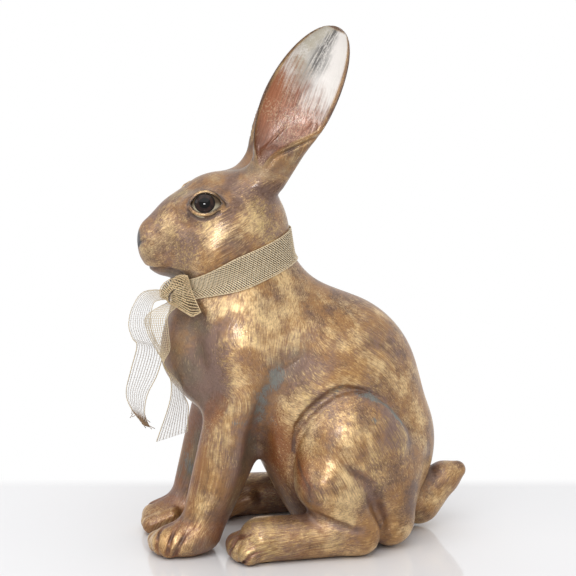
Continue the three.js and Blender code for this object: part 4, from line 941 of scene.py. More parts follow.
# Eyelids and folds round the left eye, as steps back, up and out from the eye's middle.
UPPER_LID = [
    (-10.2, -2.4, -0.2), (-9.2, 2.6, 0.4), (-6.2, 6.6, 0.6), (-1.8, 8.8, 0.6), (3, 8.8, 0.6),
    (7.6, 6.6, 0.4), (11, 3.2, -0.4), (14, -0.8, -1.8),
]
LOWER_LID = [
    (-10.2, -2.4, -0.2), (-8.2, -5.6, 0.4), (-4.4, -7.7, 0.8), (0.4, -8.2, 0.8), (5, -7, 0.4),
    (9.4, -4.4, -0.4), (14, -0.8, -1.8),
]
UPPER_FOLD = [
    (-12.6, 0.6, 0), (-10.2, 6.4, 0), (-5, 11, 0), (1.4, 12.2, 0), (7.4, 10.2, 0), (12.4, 5.6, 0),
    (17, -0.6, 0),
]
LOWER_FOLD = [
    (-13.6, -5.4, 0), (-10.6, -8.8, 0), (-5, -11.4, 0), (1, -11.8, 0), (6.6, -10, 0), (11, -6.6, 0),
]
TEAR_FOLD = [(-10.6, -3.4, 0), (-13.2, -6.6, 0), (-14.2, -10.4, 0)]
NOSE = SKULL + (0, -65, -6.5)
NOSTRIL = [(2.6, -66.5, -11), (5.2, -66, -8.4), (7.6, -62.5, -6.2)]
LIP = [(0, -62, -27), (7, -60, -28), (12.5, -55, -28.7), (16.5, -47, -29.6), (19.5, -37, -30)]


def round_eye(steps):
    return np.array([EYE_POINT + EYE_BACK * back + EYE_UP * up + EYE_OUT * out for back, up, out in steps])


EAR_LEAN = {1: 24.5, -1: 34.0}
EAR_SPLAY = 6.0
EAR_TURN = 12.0


def ear_frame(side):
    """The ear's foot, and the directions of its opening, of its width and of its length."""
    lean = math.radians(EAR_LEAN[side])
    splay = math.radians(EAR_SPLAY)
    turn = math.radians(EAR_TURN)
    axis = np.array([
        side * math.sin(splay), math.sin(lean) * math.cos(splay), math.cos(lean) * math.cos(splay),
    ])
    opening = np.array([side * math.cos(turn), -math.sin(turn), 0.0])
    opening = opening - axis * (opening @ axis)
    opening = opening / np.linalg.norm(opening)
    return SKULL + (side * 19, 25, 43), opening, np.cross(axis, opening), axis


EAR_LENGTH = 126.5
EAR_HALF_WIDTH = 27.0
EAR_WIDEST = 0.5
EAR_TIP_SWEEP = 4.0
EAR_RIM = 2.0
EAR_FOLD_LOW_RADIUS = 12.5
EAR_FOLD_HIGH_RADIUS = 4.5
EAR_ROOT_RADIUS = 15
EAR_STEM_RADIUS = 10
CUP_START = 5.0
CUP_DEPTH = 6.0


def eased(value, low, high):
    share = np.clip((value - low) / (high - low), 0, 1)
    return share * share * (3 - 2 * share)


def ear_shape(p, side):
    """Where points lie in an ear: out, across and along, the leaf's half width, its back and front, and the
    share of the way from the cup's middle to its edge."""
    foot, opening, across, axis = ear_frame(side)
    step = p - foot
    u, w = step @ opening, step @ axis
    share = np.clip(w / EAR_LENGTH, 0, 1)
    v = side * (step @ across) - EAR_TIP_SWEEP * share**3
    lower = EAR_HALF_WIDTH * np.sin(np.pi / 2 * np.minimum(share / EAR_WIDEST, 1)) ** 0.62
    upper = EAR_HALF_WIDTH * np.sqrt(np.maximum(1 - ((share - EAR_WIDEST) / (1 - EAR_WIDEST)) ** 2, 0))
    leaf = np.where(share < EAR_WIDEST, lower, upper)
    half = np.maximum(np.hypot(leaf, 10 * (1 - share) ** 4), 0.5)
    thin = np.sqrt(np.maximum(1 - share**6, 0.02))
    arc = np.sqrt(np.maximum(1 - (v / half) ** 2, 0.0))
    rim = EAR_RIM * eased(w, 0, 40) * thin
    back = -9.5 * thin * arc - rim
    swell = 10 * (1 - eased(w, 8, 70))
    opened = eased(w, CUP_START, CUP_START + 55)
    inner = half - 0.3 * EAR_RIM * thin
    cup_front = -inner * eased(w, CUP_START - 14, CUP_START + 16)
    cup_rear = cup_front + (inner - cup_front) * np.clip((w - CUP_START) / 44, 0, 1) ** 0.6
    middle = (cup_front + cup_rear) / 2
    span = np.maximum((cup_rear - cup_front) / 2, 0.3)
    towards_edge = (v - middle) / span
    scoop = np.sqrt(np.maximum(1 - towards_edge**2, 0.0))
    deep = (swell * 0.9 + CUP_DEPTH * opened * thin) * eased(w, CUP_START, CUP_START + 12)
    fold = 1.4 * np.exp(-(((towards_edge - 0.1) * span) / 1.1) ** 2)
    fold = fold * (1 - eased(w, 22, 48)) * eased(w, 6, 14)
    off_edge = (np.abs(towards_edge) - 1) * span
    lip = 1.3 * np.exp(-((off_edge / 1.3) ** 2)) * eased(w, 6, 18) * thin
    groove = 1.3 * np.exp(-(((off_edge - 3.4) / 1.4) ** 2)) * (towards_edge > 1)
    groove = groove * eased(w, 4, 12) * (1 - eased(w, 46, 58))
    front = swell * arc + rim - deep * scoop + fold + lip - groove
    return u, v, w, half, back, front, towards_edge


def ear(p, side):
    """A cupped leaf on a stem, with the fold behind its rear edge that widens to the root."""
    u, v, w, half, back, front, _ = ear_shape(p, side)
    middle = EAR_LENGTH * EAR_WIDEST
    tip = egg(
        np.stack([v, w, 0 * v], axis=1), np.array([0, middle, 0]),
        (EAR_HALF_WIDTH, EAR_LENGTH - middle, EAR_LENGTH),
    )
    edge = np.where(w > middle, tip, (np.abs(v) - half) * 0.85)
    shell = -blend(1.6, u - back, front - u)
    leaf = np.maximum(-blend(2.2, -shell, -edge), -w - 6)
    foot, opening, across, axis = ear_frame(side)
    low = foot + side * across * 6 - opening * 3
    high = foot + axis * 50 + side * across * 20 - opening * 4
    return blend(2.5, leaf, limb(p, low, EAR_FOLD_LOW_RADIUS, high, EAR_FOLD_HIGH_RADIUS))


def ear_root(p, side):
    foot, _, _, axis = ear_frame(side)
    root = foot + (SKULL - foot) / np.linalg.norm(SKULL - foot) * 18
    return limb(p, root, EAR_ROOT_RADIUS, foot + axis * 14, EAR_STEM_RADIUS)


# Radii of the balls and eggs that the head is built up from, and how slim some of them are across.
SKULL_SLIM = 0.86
SKULL_RADIUS = 44
MUZZLE_RADIUS = 23
BRIDGE_TOP_RADIUS = 24
BRIDGE_END_RADIUS = 13
SNOUT_RADIUS = 19.2
CHEEK_RADIUS = 22
JAW_SLIM = 0.8
JAW_FRONT_RADIUS = 9.5
JAW_BACK_RADIUS = 12
BROW_MIDDLE = np.array([1.5, -1.6, -9.4])
BROW_RADII = (19, 10.8, 9.2)
NOSE_RADII = (9.5, 6, 8.5)


def skull(p):
    """Head without its fine features."""
    q = slimmed(p, SKULL_SLIM)
    cone = SKULL_SLIM * limb(q, SKULL, SKULL_RADIUS, MUZZLE, MUZZLE_RADIUS)
    bridge = SKULL_SLIM * limb(q, BRIDGE_TOP, BRIDGE_TOP_RADIUS, BRIDGE_END, BRIDGE_END_RADIUS)
    snout = SKULL_SLIM * ball(q, (BRIDGE_TOP + BRIDGE_END) / 2, SNOUT_RADIUS)
    return blend(15, neck(p), blend(7, cone, blend(9, bridge, snout)))


def face(p):
    """Head with cheeks, brows, nose, jaw and ear roots, on the left side."""
    form = blend(14, skull(p), ball(p, CHEEK, CHEEK_RADIUS), ear_root(p, 1))
    brow = egg((p - EYE_POINT) @ EYE_AXES.T, BROW_MIDDLE, BROW_RADII)
    jaw = JAW_SLIM * limb(slimmed(p, JAW_SLIM), JAW_FRONT, JAW_FRONT_RADIUS, JAW_BACK, JAW_BACK_RADIUS)
    form = blend(3, blend(9, form, brow), jaw)
    return blend(4, form, egg(p, NOSE + (0, 5, 0), NOSE_RADII))


UPPER_LID_LINE = round_eye(UPPER_LID)
LOWER_LID_LINE = round_eye(LOWER_LID)
UPPER_LINE = onto(face, round_eye(UPPER_FOLD))
LOWER_LINE = onto(face, round_eye(LOWER_FOLD))
TEAR_LINE = onto(face, round_eye(TEAR_FOLD))
NOSTRIL_LINE = onto(face, SKULL + np.array(NOSTRIL))
LIP_LINE = onto(face, SKULL + np.array(LIP))
CLEFT_LINE = onto(face, SKULL + np.array([(0, -68, -13), (0, -66, -20), (0, -62, -27)]))


# Arcs that bound the opening between the lids: middle back and up from the eye's middle, and radius.
UPPER_ARC = (1.7, -5.6, 12.9)
LOWER_ARC = (1.7, 7.0, 13.7)
SOCKET_DEPTH = 4.5


def eye_opening(p):
    """The almond between the lids, which two arcs bound, as a form that reaches out through them."""
    local = (p - EYE_POINT) @ EYE_AXES.T
    arcs = [
        np.hypot(local[:, 0] - back, local[:, 1] - up) - radius
        for back, up, radius in (UPPER_ARC, LOWER_ARC)
    ]
    return np.maximum(np.maximum(*arcs), -SOCKET_DEPTH - local[:, 2])


def head_form(p):
    """The whole head with both ears."""
    q = folded(p)
    form = face(q)
    near = np.linalg.norm(q - EYE_POINT, axis=1) < 30
    r = q[near]
    orbit = form[near]
    orbit = carve(2.4, orbit, off_line(r, UPPER_LINE, 12) - 0.75)
    orbit = carve(2.4, orbit, off_line(r, LOWER_LINE, 12) - 0.6)
    orbit = blend(2.0, orbit, off_line(r, UPPER_LID_LINE, 12) - 1.5, off_line(r, LOWER_LID_LINE, 12) - 1.4)
    orbit = carve(1.5, orbit, off_line(r, TEAR_LINE, 12) - 0.6)
    form[near] = carve(0.5, orbit, eye_opening(r))
    form = carve(2.0, form, off_line(q, NOSTRIL_LINE, 10) - 0.4)
    form = carve(3.0, form, off_line(q, LIP_LINE, 12) - 0.9)
    form = carve(2.0, form, off_line(q, CLEFT_LINE, 10) - 0.7)
    sides = np.where(p[:, 0] > 0, 1, -1)
    leaf = np.empty(len(p))
    for side in (1, -1):
        leaf[sides == side] = ear(p[sides == side], side)
    return blend(5, form, leaf)


def head_brush(p):
    q = folded(p)
    _, _, _, axis = ear_frame(1)
    up = np.clip((q[:, 2] - SKULL[2] - 40) / 15, 0, 1)
    return brushed(q, [(1 - up + 1e-6, (0, 0.86, 0.5)), (up + 1e-6, axis)])


def head_marks(p, normals):
    """The nose's slate pad, painted shade in the eye folds, lip and sockets, and a mauve wash with painted
    shade.
    """
    q = folded(p)
    away = np.linalg.norm((p - NOSE - (0, -1, 0)) / (7.5, 6.5, 8.5), axis=1)
    # Painted shade: dark lines in the eye folds and the lip crease, and in the socket just inside the lids.
    lines = [(UPPER_LINE, 2.0), (LOWER_LINE, 1.3), (TEAR_LINE, 1.4), (LIP_LINE, 0.9)]
    lining = np.maximum.reduce([near_to(off_line(q, line, 8), width) for line, width in lines])
    lids = np.minimum(off_line(q, UPPER_LID_LINE, 8), off_line(q, LOWER_LID_LINE, 8))
    socket = np.clip((1.5 - eye_opening(q)) / 0.5, 0, 1) * np.clip((4.2 - lids) / 1.0, 0, 1)
    lining = np.maximum(lining, socket)
    crown = np.clip((normals[:, 2] - 0.35) / 0.4, 0, 1)
    roots = np.clip((q[:, 2] - SKULL[2] - 34) / 14, 0, 1)
    jaw = np.clip((SKULL[2] - 27 - q[:, 2]) / 2, 0, 1) * np.clip((SKULL[1] - 24 - q[:, 1]) / 10, 0, 1)
    temple = near_to(np.linalg.norm((q - SKULL - (36, -4, -8)) / (20, 13, 12), axis=1), 1)
    snout = near_to(np.linalg.norm((q - SKULL - (12, -56, -12)) / (18, 8, 12), axis=1), 1)
    # Painted shade with a mauve wash: the crown's upper faces, the ear roots, the jaw's underside, the
    # temple and the snout.
    dusk = np.maximum.reduce([0.45 * crown, 0.7 * roots, jaw, 0.6 * temple, 0.45 * snout])
    return {
        "nose": np.clip((1.1 - away) / 0.2, 0, 1), "lining": lining, "moss": np.zeros(len(p)),
        "dusk": dusk, "rust": np.zeros(len(p)), "shade": np.zeros(len(p)), "bare": under_ribbon(p),
    }


SLATE = tone(66, 62, 63)
FOLD_SHADE = tone(58, 42, 32)

head_gold, tree, shader = finish("head_gold")
colour, metal, rough, relief = gilding(tree)
nose = mark_at(tree, "nose")
# Painted shade along the eye folds and the lip and inside the eye sockets.
colour = wash(tree, colour, mark_at(tree, "lining"), 0.9, FOLD_SHADE)
colour = mix(tree, nose, colour, SLATE)
metal = math_of(tree, "MULTIPLY", metal, rest_of(tree, nose))
gild(shader, tree, colour, metal, rough, relief)

points, triangles = skin_of(head_form, SKULL + (-62, -82, -62), SKULL + (62, 124, 172), HEAD_CELL)
points, heads, _ = parted(points, triangles, 0.2 - (points - COLLAR_MIDDLE) @ NECK_NORMAL)
ears = {}
for side in (1, -1):
    foot, opening, across, axis = ear_frame(side)
    above = (points - foot) @ axis - EAR_SEAM
    elsewhere = -side * points[:, 0] - 2
    points, ears[side], heads = parted(points, heads, -np.minimum(above, -elsewhere))
sculpted(
    "gilded_head", points, heads, head_form, head_brush, ["head_casting"], head_gold,
    head_marks,
)

# Ears: solid castings bonded on the roots. The cup is brushed rust and pink below and silver leaf above,
# with a charcoal streak under the tip and a gold rim.
CUP_RUST = tone(136, 78, 48)
CUP_PINK = tone(190, 134, 106)
CUP_BROWN = tone(92, 56, 40)
CUP_ORANGE = tone(166, 92, 40)
CUP_GOLD = tone(222, 190, 150)
SILVER = tone(234, 228, 222)
OLD_SILVER = tone(192, 184, 166)
CHARCOAL = tone(92, 88, 84)


def ear_marks(side):
    """Marks for the painted cup of one ear: how far in it, along and across a point lies."""
    def marks(p, normals):
        u, v, w, half, back, front, towards_edge = ear_shape(p, side)
        facing = np.clip((u - (back + front) / 2) / 1.0, 0, 1)
        outer_line = near_to(half - np.abs(v), 1.2)
        within = np.clip((np.where(v > 0, 0.91, 0.955) - np.abs(towards_edge)) / 0.06, 0, 1)
        within = within * np.clip((w - CUP_START) / 4, 0, 1)
        return {
            "cup": facing * within * np.clip((EAR_LENGTH - 2.8 - w) / 1.2, 0, 1),
            "along": w / EAR_LENGTH,
            "across": v / half,
            # A darker wash towards the ear's root.
            "dusk": np.clip(0.9 - w / 60, 0.5, 0.9),
            "shade": np.maximum(
                (0.3 + 0.6 * facing) * outer_line * np.where(v < 0, 1, eased(w, 52, 64)),
                0.8 * eased(w, EAR_LENGTH - 5, EAR_LENGTH - 2),
            ),
            **{key: np.zeros(len(p)) for key in ("moss", "rust", "bare")},
        }
    return marks


ear_gold, tree, shader = finish("ear_gold")
colour, metal, rough, relief = gilding(tree)
cup, along, across = (mark_at(tree, key) for key in ("cup", "along", "across"))
brush = add(tree, "ShaderNodeAttribute", attribute_name="brush").outputs["Vector"]
where = place_on(tree)
streaks = noise_at(tree, brush, 0.8, 5.0, 0.65)
scratches = noise_at(tree, brush, 2.6, 3.0, 0.6)
grit = noise_at(tree, where, 800.0, 2.0)
flecks = math_of(tree, "MULTIPLY", math_of(tree, "ADD", grit, scratches), 0.5)
blotches = noise_at(tree, where, 55.0, 4.0)


def loose(value, noise, amount):
    """A value shifted to and fro by noise."""
    shift = math_of(tree, "MULTIPLY", math_of(tree, "SUBTRACT", noise, 0.5), amount)
    return math_of(tree, "ADD", value, shift)


inside = mix(tree, ramp(tree, streaks, 0.36, 0.64), CUP_RUST, CUP_PINK)
inside = wash(tree, inside, ramp(tree, scratches, 0.47, 0.59), 0.85, CUP_BROWN)
front_side = rest_of(tree, ramp(tree, loose(across, blotches, 0.6), -0.75, -0.15))
inside = wash(tree, inside, front_side, 0.65, CUP_ORANGE)
deep = rest_of(tree, ramp(tree, loose(along, streaks, 0.3), 0.10, 0.44))
inside = wash(tree, inside, deep, 0.75, CUP_BROWN)
glints = math_of(tree, "MULTIPLY", ramp(tree, flecks, 0.50, 0.62), ramp(tree, blotches, 0.36, 0.56))
inside = wash(tree, inside, glints, 0.55, CUP_GOLD)
silver = mix(tree, ramp(tree, loose(across, blotches, 0.7), -0.45, 0.2), OLD_SILVER, SILVER)
left_side = rest_of(tree, ramp(tree, across, -0.35, 0.35))
speckled = math_of(tree, "MULTIPLY", ramp(tree, loose(blotches, flecks, 0.6), 0.42, 0.58), left_side)
silver = wash(tree, silver, speckled, 0.7, SILVER)
level = math_of(tree, "ADD", along, math_of(tree, "MULTIPLY", across, 0.12))
level = loose(loose(level, streaks, 0.5), blotches, 0.35)
inside = mix(tree, ramp(tree, level, 0.42, 0.72), inside, silver)
smoke = math_of(tree, "ABSOLUTE", math_of(tree, "ADD", loose(across, blotches, 0.5), 0.06))
smoke = rest_of(tree, ramp(tree, smoke, 0.0, 0.55))
streaked = ramp(tree, loose(streaks, flecks, 0.5), 0.30, 0.60)
high = math_of(tree, "MULTIPLY", ramp(tree, along, 0.50, 0.76), streaked)
inside = mix(tree, math_of(tree, "MULTIPLY", smoke, high), inside, CHARCOAL)
colour = mix(tree, cup, colour, inside)
metal = math_of(tree, "MULTIPLY", metal, rest_of(tree, math_of(tree, "MULTIPLY", cup, 0.75)))
gild(shader, tree, colour, metal, rough, relief)

for side, word in ((1, "left"), (-1, "right")):
    sculpted(
        f"gilded_{word}_ear", points, ears[side], head_form, head_brush, [f"{word}_ear"],
        ear_gold, ear_marks(side),
    )

# Eyes: domes of polished dark glass, set in the sockets behind the lids. A brown iris and the pale corners
# are painted behind the glass.
IRIS = tone(40, 28, 24)
IRIS_RAYS = tone(58, 40, 32)
PUPIL = tone(12, 10, 10)
EYE_WHITE = tone(184, 173, 148)
EYE_WHITE_IN_SHADE = tone(86, 70, 52)
IRIS_RADIUS = 7.7
EYE_DOME_ANGLE = 57.0

dark_glass, tree, shader = finish("dark_glass")
gaze = mark_at(tree, "gaze")
rays = noise_at(tree, place_on(tree), 420.0, 3.0)
brown = mix(tree, ramp(tree, rays, 0.4, 0.65), IRIS, IRIS_RAYS)
brown = mix(tree, ramp(tree, gaze, 0.5, 0.62), PUPIL, brown)
rim = mix(tree, ramp(tree, gaze, 0.84, 0.98), brown, PUPIL)
# Painted shade: the whites darker towards the top, under the upper lid.
white = mix(tree, mark_at(tree, "low"), EYE_WHITE_IN_SHADE, EYE_WHITE)
tree.links.new(mix(tree, ramp(tree, gaze, 0.99, 1.06), rim, white), shader.inputs["Base Color"])
tree.links.new(math_of(tree, "ADD", 0.05, math_of(tree, "MULTIPLY", rays, 0.06)), shader.inputs["Roughness"])
shader.inputs["Specular IOR Level"].default_value = 0.16

EYE_RINGS = 26
EYE_AROUND = 64
for side, word in ((1, "left"), (-1, "right")):
    polar = np.linspace(0, math.radians(EYE_DOME_ANGLE), EYE_RINGS)[1:]
    turn = np.arange(EYE_AROUND) * 2 * np.pi / EYE_AROUND
    out = np.outer(np.cos(polar), np.ones(EYE_AROUND))
    back = np.outer(np.sin(polar), np.cos(turn))
    up = np.outer(np.sin(polar), np.sin(turn))
    shell = EYE_BALL_RADIUS * np.stack([back.ravel(), up.ravel(), out.ravel()], axis=1)
    local = np.concatenate([[[0, 0, EYE_BALL_RADIUS]], shell, [[0, 0, shell[-1, 2]]]])
    local[:, 0] *= np.where(local[:, 0] > 0, EYE_REAR_STRETCH, 1.0)
    gaze = np.hypot(local[:, 0] - 0.8, (local[:, 1] - 0.2) * 1.06) / IRIS_RADIUS
    # Share of the whites below the painted shade of the upper lid.
    low = np.clip((0.5 - local[:, 1]) / 3.5, 0, 1)
    dome = EYE_BALL + local @ EYE_AXES
    faces = []
    last = len(local) - 1
    for i in range(EYE_AROUND):
        j = (i + 1) % EYE_AROUND
        faces.append((0, 1 + i, 1 + j))
        for r in range(EYE_RINGS - 2):
            a, b = 1 + r * EYE_AROUND + i, 1 + r * EYE_AROUND + j
            faces += [(a, a + EYE_AROUND, b + EYE_AROUND), (a, b + EYE_AROUND, b)]
        faces.append((last - EYE_AROUND + i, last, last - EYE_AROUND + j))
    faces = np.array(faces)
    if side < 0:
        dome = dome * (-1, 1, 1)
    else:
        faces = faces[:, ::-1]
    looks = {"gaze": gaze, "low": low}
    piece_of(f"{word}_glass_eye", dome, faces, [f"{word}_eye"], dark_glass, looks)

# Ribbon collar: an open plain weave of champagne metallic yarn, 25 mm wide, wound once round the neck over
# the head's joint and gathered in front.
COLLAR_WIDTH = 25.0
COLLAR_GAP = 1.1
COLLAR_WARP = (1.5, 0.42)
COLLAR_WEFT = (2.2, 0.9)
SELVEDGE_YARN = 0.8
YARN_FLATNESS = 0.7


def figure(p):
    return np.minimum(shouldered(folded(p)), face(folded(p)))


def first_exit(form, starts, directions, gap):
    """Where rays first leave a form grown by a gap."""
    reach = np.zeros(len(starts))
    inside = np.ones(len(starts), bool)
    while inside.any():
        reach[inside] += 1.0
        inside &= form(starts + reach[:, None] * directions) < gap
    low, high = reach - 1.0, reach
    for _ in range(14):
        middle = (low + high) / 2
        within = form(starts + middle[:, None] * directions) < gap
        low = np.where(within, middle, low)
        high = np.where(within, high, middle)
    return starts + high[:, None] * directions


def sampled(grid, s, t):
    """Points at shares s and t of a grid of points, by smooth curves through its rows."""
    def along(values, share):
        count = len(values) - 1
        at = np.clip(share * count, 0, count)
        i = np.minimum(at.astype(int), count - 1)
        f = (at - i)[:, None]
        before = values[np.maximum(i - 1, 0), np.arange(len(i))]
        here = values[i, np.arange(len(i))]
        there = values[i + 1, np.arange(len(i))]
        after = values[np.minimum(i + 2, count), np.arange(len(i))]
        pull = (there - before) / 2
        leave = (after - here) / 2
        return ((2 * f**3 - 3 * f**2 + 1) * here + (f**3 - 2 * f**2 + f) * pull
                + (3 * f**2 - 2 * f**3) * there + (f**3 - f**2) * leave)
    rows = np.stack([along(np.repeat(row[:, None], len(t), 1), t) for row in grid])
    return along(rows, s)


def tubes(paths, normals, radius, flat, ring_shut):
    """Four-sided yarns along paths of shape (yarns, steps, 3), lying flat across their normals."""
    ahead = np.roll(paths, -1, axis=1) - np.roll(paths, 1, axis=1)
    if not ring_shut:
        ahead[:, 0] = paths[:, 1] - paths[:, 0]
        ahead[:, -1] = paths[:, -1] - paths[:, -2]
    across = np.cross(normals, ahead)
    across = across / np.maximum(np.linalg.norm(across, axis=2, keepdims=True), 1e-6)
    high = radius * flat * normals
    wide = radius * across
    points = np.stack([paths + wide, paths + high, paths - wide, paths - high], axis=2)
    yarns, steps = paths.shape[:2]
    index = np.arange(yarns * steps * 4).reshape(yarns, steps, 4)
    here = index if ring_shut else index[:, :-1]
    there = np.roll(index, -1, axis=1) if ring_shut else index[:, 1:]
    sides = []
    for k, after in ((0, 1), (1, 2), (2, 3), (3, 0)):
        ring = [here[..., k], there[..., k], there[..., after], here[..., after]]
        sides.append(np.stack(ring, axis=-1).reshape(-1, 4))
    if not ring_shut:
        sides.append(index[:, 0].reshape(-1, 4))
        sides.append(index[:, -1, ::-1].reshape(-1, 4))
    return points.reshape(-1, 3), np.concatenate(sides)


def woven(surface, length, width, warp, weft, ring_shut=False, slant=0.0):
    """A plain weave over a surface of shares along and across: its points, its faces and, at each point,
    whether it is in an edge yarn, whether it is in a cross yarn and its share along. Warp and weft are each
    given as the pitch and the width of the yarn."""
    ends = int(round(width / warp[0]))
    picks = int(round(length / weft[0]))
    picks += picks % 2
    s = np.arange(picks) / picks if ring_shut else (np.arange(picks) + 0.5) / picks
    t = np.linspace(0.02, 0.98, ends + 1)
    S, T = (m.ravel() for m in np.meshgrid(s, t, indexing="ij"))
    S = S + slant * (T - 0.5)
    S = S % 1 if ring_shut else np.clip(S, 0, 1)
    step = 1e-3
    here = surface(S, T)
    run = surface(np.minimum(S + step, 1), T) - surface(np.maximum(S - step, 0), T)
    side = surface(S, np.minimum(T + step, 1)) - surface(S, np.maximum(T - step, 0))
    normal = np.cross(run, side)
    normal = normal / np.maximum(np.linalg.norm(normal, axis=1, keepdims=True), 1e-9)
    here = here.reshape(picks, ends + 1, 3)
    normal = normal.reshape(picks, ends + 1, 3)
    over = np.where((np.add.outer(np.arange(picks), np.arange(ends + 1)) % 2 == 0), 1.0, -1.0)[..., None]
    lift = 0.2 * (warp[1] + weft[1]) * YARN_FLATNESS
    long_yarns = (here + lift * over * normal).transpose(1, 0, 2)
    cross_yarns = here - lift * over * normal
    thick = np.full(ends + 1, warp[1] / 2)
    thick[[0, -1]] = SELVEDGE_YARN / 2
    parts = [
        tubes(long_yarns, normal.transpose(1, 0, 2), thick[:, None, None], YARN_FLATNESS, ring_shut),
        tubes(cross_yarns, normal, weft[1] / 2, YARN_FLATNESS, False),
    ]
    edge = np.zeros((ends + 1, picks, 4))
    edge[[0, -1]] = 1
    shares = S.reshape(picks, ends + 1)
    points = np.concatenate([parts[0][0], parts[1][0]])
    faces = np.concatenate([parts[0][1], parts[1][1] + len(parts[0][0])])
    return points, faces, {
        "selvedge": np.concatenate([edge.ravel(), np.zeros(len(parts[1][0]))]),
        "weft": np.repeat([0.0, 1.0], [len(parts[0][0]), len(parts[1][0])]),
        "along": np.concatenate([np.repeat(shares.T.ravel(), 4), np.repeat(shares.ravel(), 4)]),
    }


def ribbon_finish(name, warp, weft, edge_tone, metal, warm=None, tip=None):
    """Yarn of fine metallic filament: one tone along the ribbon, one across it and a stiffer edge yarn. Up
    to a share of its length it may have a warmer tone, and from another share on the tone of its tip."""
    material, tree, shader = finish(name)
    where = place_on(tree)
    patches = noise_at(tree, where, 420.0, 3.0)
    filaments = noise_at(tree, where, 2400.0, 2.0)
    mark = {key: mark_at(tree, key) for key in ("selvedge", "weft", "along")}
    colour = mix(tree, mark["weft"], warp, weft)
    if warm:
        warm_tone, share = warm
        cool = ramp(tree, mark["along"], share - 0.1, share + 0.1)
        colour = mix(tree, cool, warm_tone, colour)
    colour = mix(tree, mark["selvedge"], colour, edge_tone)
    # A tip tone is painted shade: on the knot's folded-back part and the front end's frayed tip.
    if tip:
        tip_tone, share = tip
        colour = mix(tree, ramp(tree, mark["along"], share, share + 0.04), colour, tip_tone)
    dull = mix(tree, 0.15, colour, tone(90, 72, 54))
    colour = mix(tree, ramp(tree, patches, 0.38, 0.62), dull, colour)
    tree.links.new(colour, shader.inputs["Base Color"])
    shader.inputs["Metallic"].default_value = metal
    rough = math_of(tree, "ADD", 0.34, math_of(tree, "MULTIPLY", filaments, 0.25))
    tree.links.new(rough, shader.inputs["Roughness"])
    relief = add(tree, "ShaderNodeBump", {"Strength": 0.3, "Distance": 0.0002, "Height": filaments})
    tree.links.new(relief.outputs[0], shader.inputs["Normal"])
    shader.inputs["Sheen Weight"].default_value = 0.25
    shader.inputs["Sheen Roughness"].default_value = 0.4
    return material


COLLAR_LONG = tone(214, 190, 150)
COLLAR_CROSS = tone(244, 226, 192)
COLLAR_EDGE = tone(232, 212, 174)
collar_yarn = ribbon_finish("collar_yarn", COLLAR_LONG, COLLAR_CROSS, COLLAR_EDGE, 0.2)
COLLAR_STEPS, COLLAR_ROWS = 96, 7

turn = np.linspace(0, 2 * np.pi, COLLAR_STEPS + 1)
rise = np.linspace(-0.5, 0.5, COLLAR_ROWS) * COLLAR_WIDTH
heights = np.outer(gathered(np.cos(turn)), rise).ravel()
outward = np.cos(turn)[:, None] * NECK_FRONT + np.sin(turn)[:, None] * np.array([1.0, 0, 0])
outward = np.repeat(outward, COLLAR_ROWS, axis=0)
band = first_exit(figure, COLLAR_MIDDLE + heights[:, None] * NECK_NORMAL, outward, COLLAR_GAP)
band = band.reshape(COLLAR_STEPS + 1, COLLAR_ROWS, 3)
COLLAR_LENGTH = np.linalg.norm(np.diff(band[:, COLLAR_ROWS // 2], axis=0), axis=1).sum()
band_points, band_faces, yarns = woven(
    lambda s, t: sampled(band, s, t), COLLAR_LENGTH, COLLAR_WIDTH, COLLAR_WARP, COLLAR_WEFT, ring_shut=True,
    slant=-0.085,
)
collar = piece_of("woven_collar", band_points, band_faces, ["ribbon_collar"], collar_yarn, yarns)

# Ribbon knot: the same ribbon pulled over the collar's crossing from above. It is gathered at the top, fans
# out to a flat tab with one ridge down it, and is folded up behind at the bottom.
KNOT_MIDDLE = HIP + (19.8, -128, 128.2)
KNOT_WARP = (2.5, 0.32)
KNOT_WEFT = (1.65, 0.82)
TAB_FACE = 6.2

# Rows of the tab from the top over the front to the back: steps back, up and left from the knot's middle.
KNOT_TAB = [
    [(-5.5, 11, -3), (-3.5, 12, -2), (-1.5, 12.5, -1), (0, 12.5, -1.5), (1.5, 12, -2)],
    [(-6.8, 15.5, 2), (-4, 16.5, 3.5), (-1.4, 17, 4.5), (0.2, 17.2, 4), (1.7, 17, 3)],
    [(-12, 8, 2.5), (-6.5, 8, 5.5), (0, 7, 8.5), (2.5, 7.2, 8), (4.8, 7.4, 7)],
    [(-15.8, 1.8, 1.5), (-7.5, -0.5, 5), (2.2, -4, 9), (5.2, -3, 9), (8.2, -2, 8.5)],
    [(-12, -5, 1.5), (-5, -9, 4), (4.2, -14, 7.5), (8, -12.5, 8), (11.4, -10.3, 8)],
    [(-10, -3, -1.5), (-4, -6, -0.5), (3.5, -10, 2), (7, -9, 3), (9.5, -7.5, 3.5)],
    [(-9, 3, -2.5), (-5, 2, -2), (0.5, 1, -1), (3, 1, 0), (5.5, 1, 1)],
]
TAB_CLEAR = [2.2, 3.2, 4.2, 4.2, 4.0, 2.2, 2.2]

# Rows of the gathered loop ahead of the tab, from its top round to its foot, in the same steps.
KNOT_LOOP = [
    [(-4, 15, -3), (-3, 12, 1), (-2, 9, 4)], [(-10.5, 14, -3), (-8.5, 10.5, 2), (-6.5, 7, 5)],
    [(-16.5, 10.5, -3), (-13.5, 7, 2), (-10.5, 4, 5.5)], [(-19.5, 5, -3), (-16, 2.5, 2), (-12.5, 0.5, 5.5)],
    [(-18.5, -0.5, -2), (-15.5, -2, 1), (-12.5, -3.5, 4)],
]
LOOP_WIDTH = 11.0
LOOP_LINING = 1.4


def spread_of(cloth):
    """A cloth's mean length along its rows and its area."""
    length = np.linalg.norm(np.diff(cloth, axis=0), axis=2).sum(axis=0).mean()
    a, b, c, d = cloth[:-1, :-1], cloth[:-1, 1:], cloth[1:, :-1], cloth[1:, 1:]
    first = np.linalg.norm(np.cross(b - a, c - a), axis=2)
    second = np.linalg.norm(np.cross(b - d, c - d), axis=2)
    return length, (first + second).sum() / 2


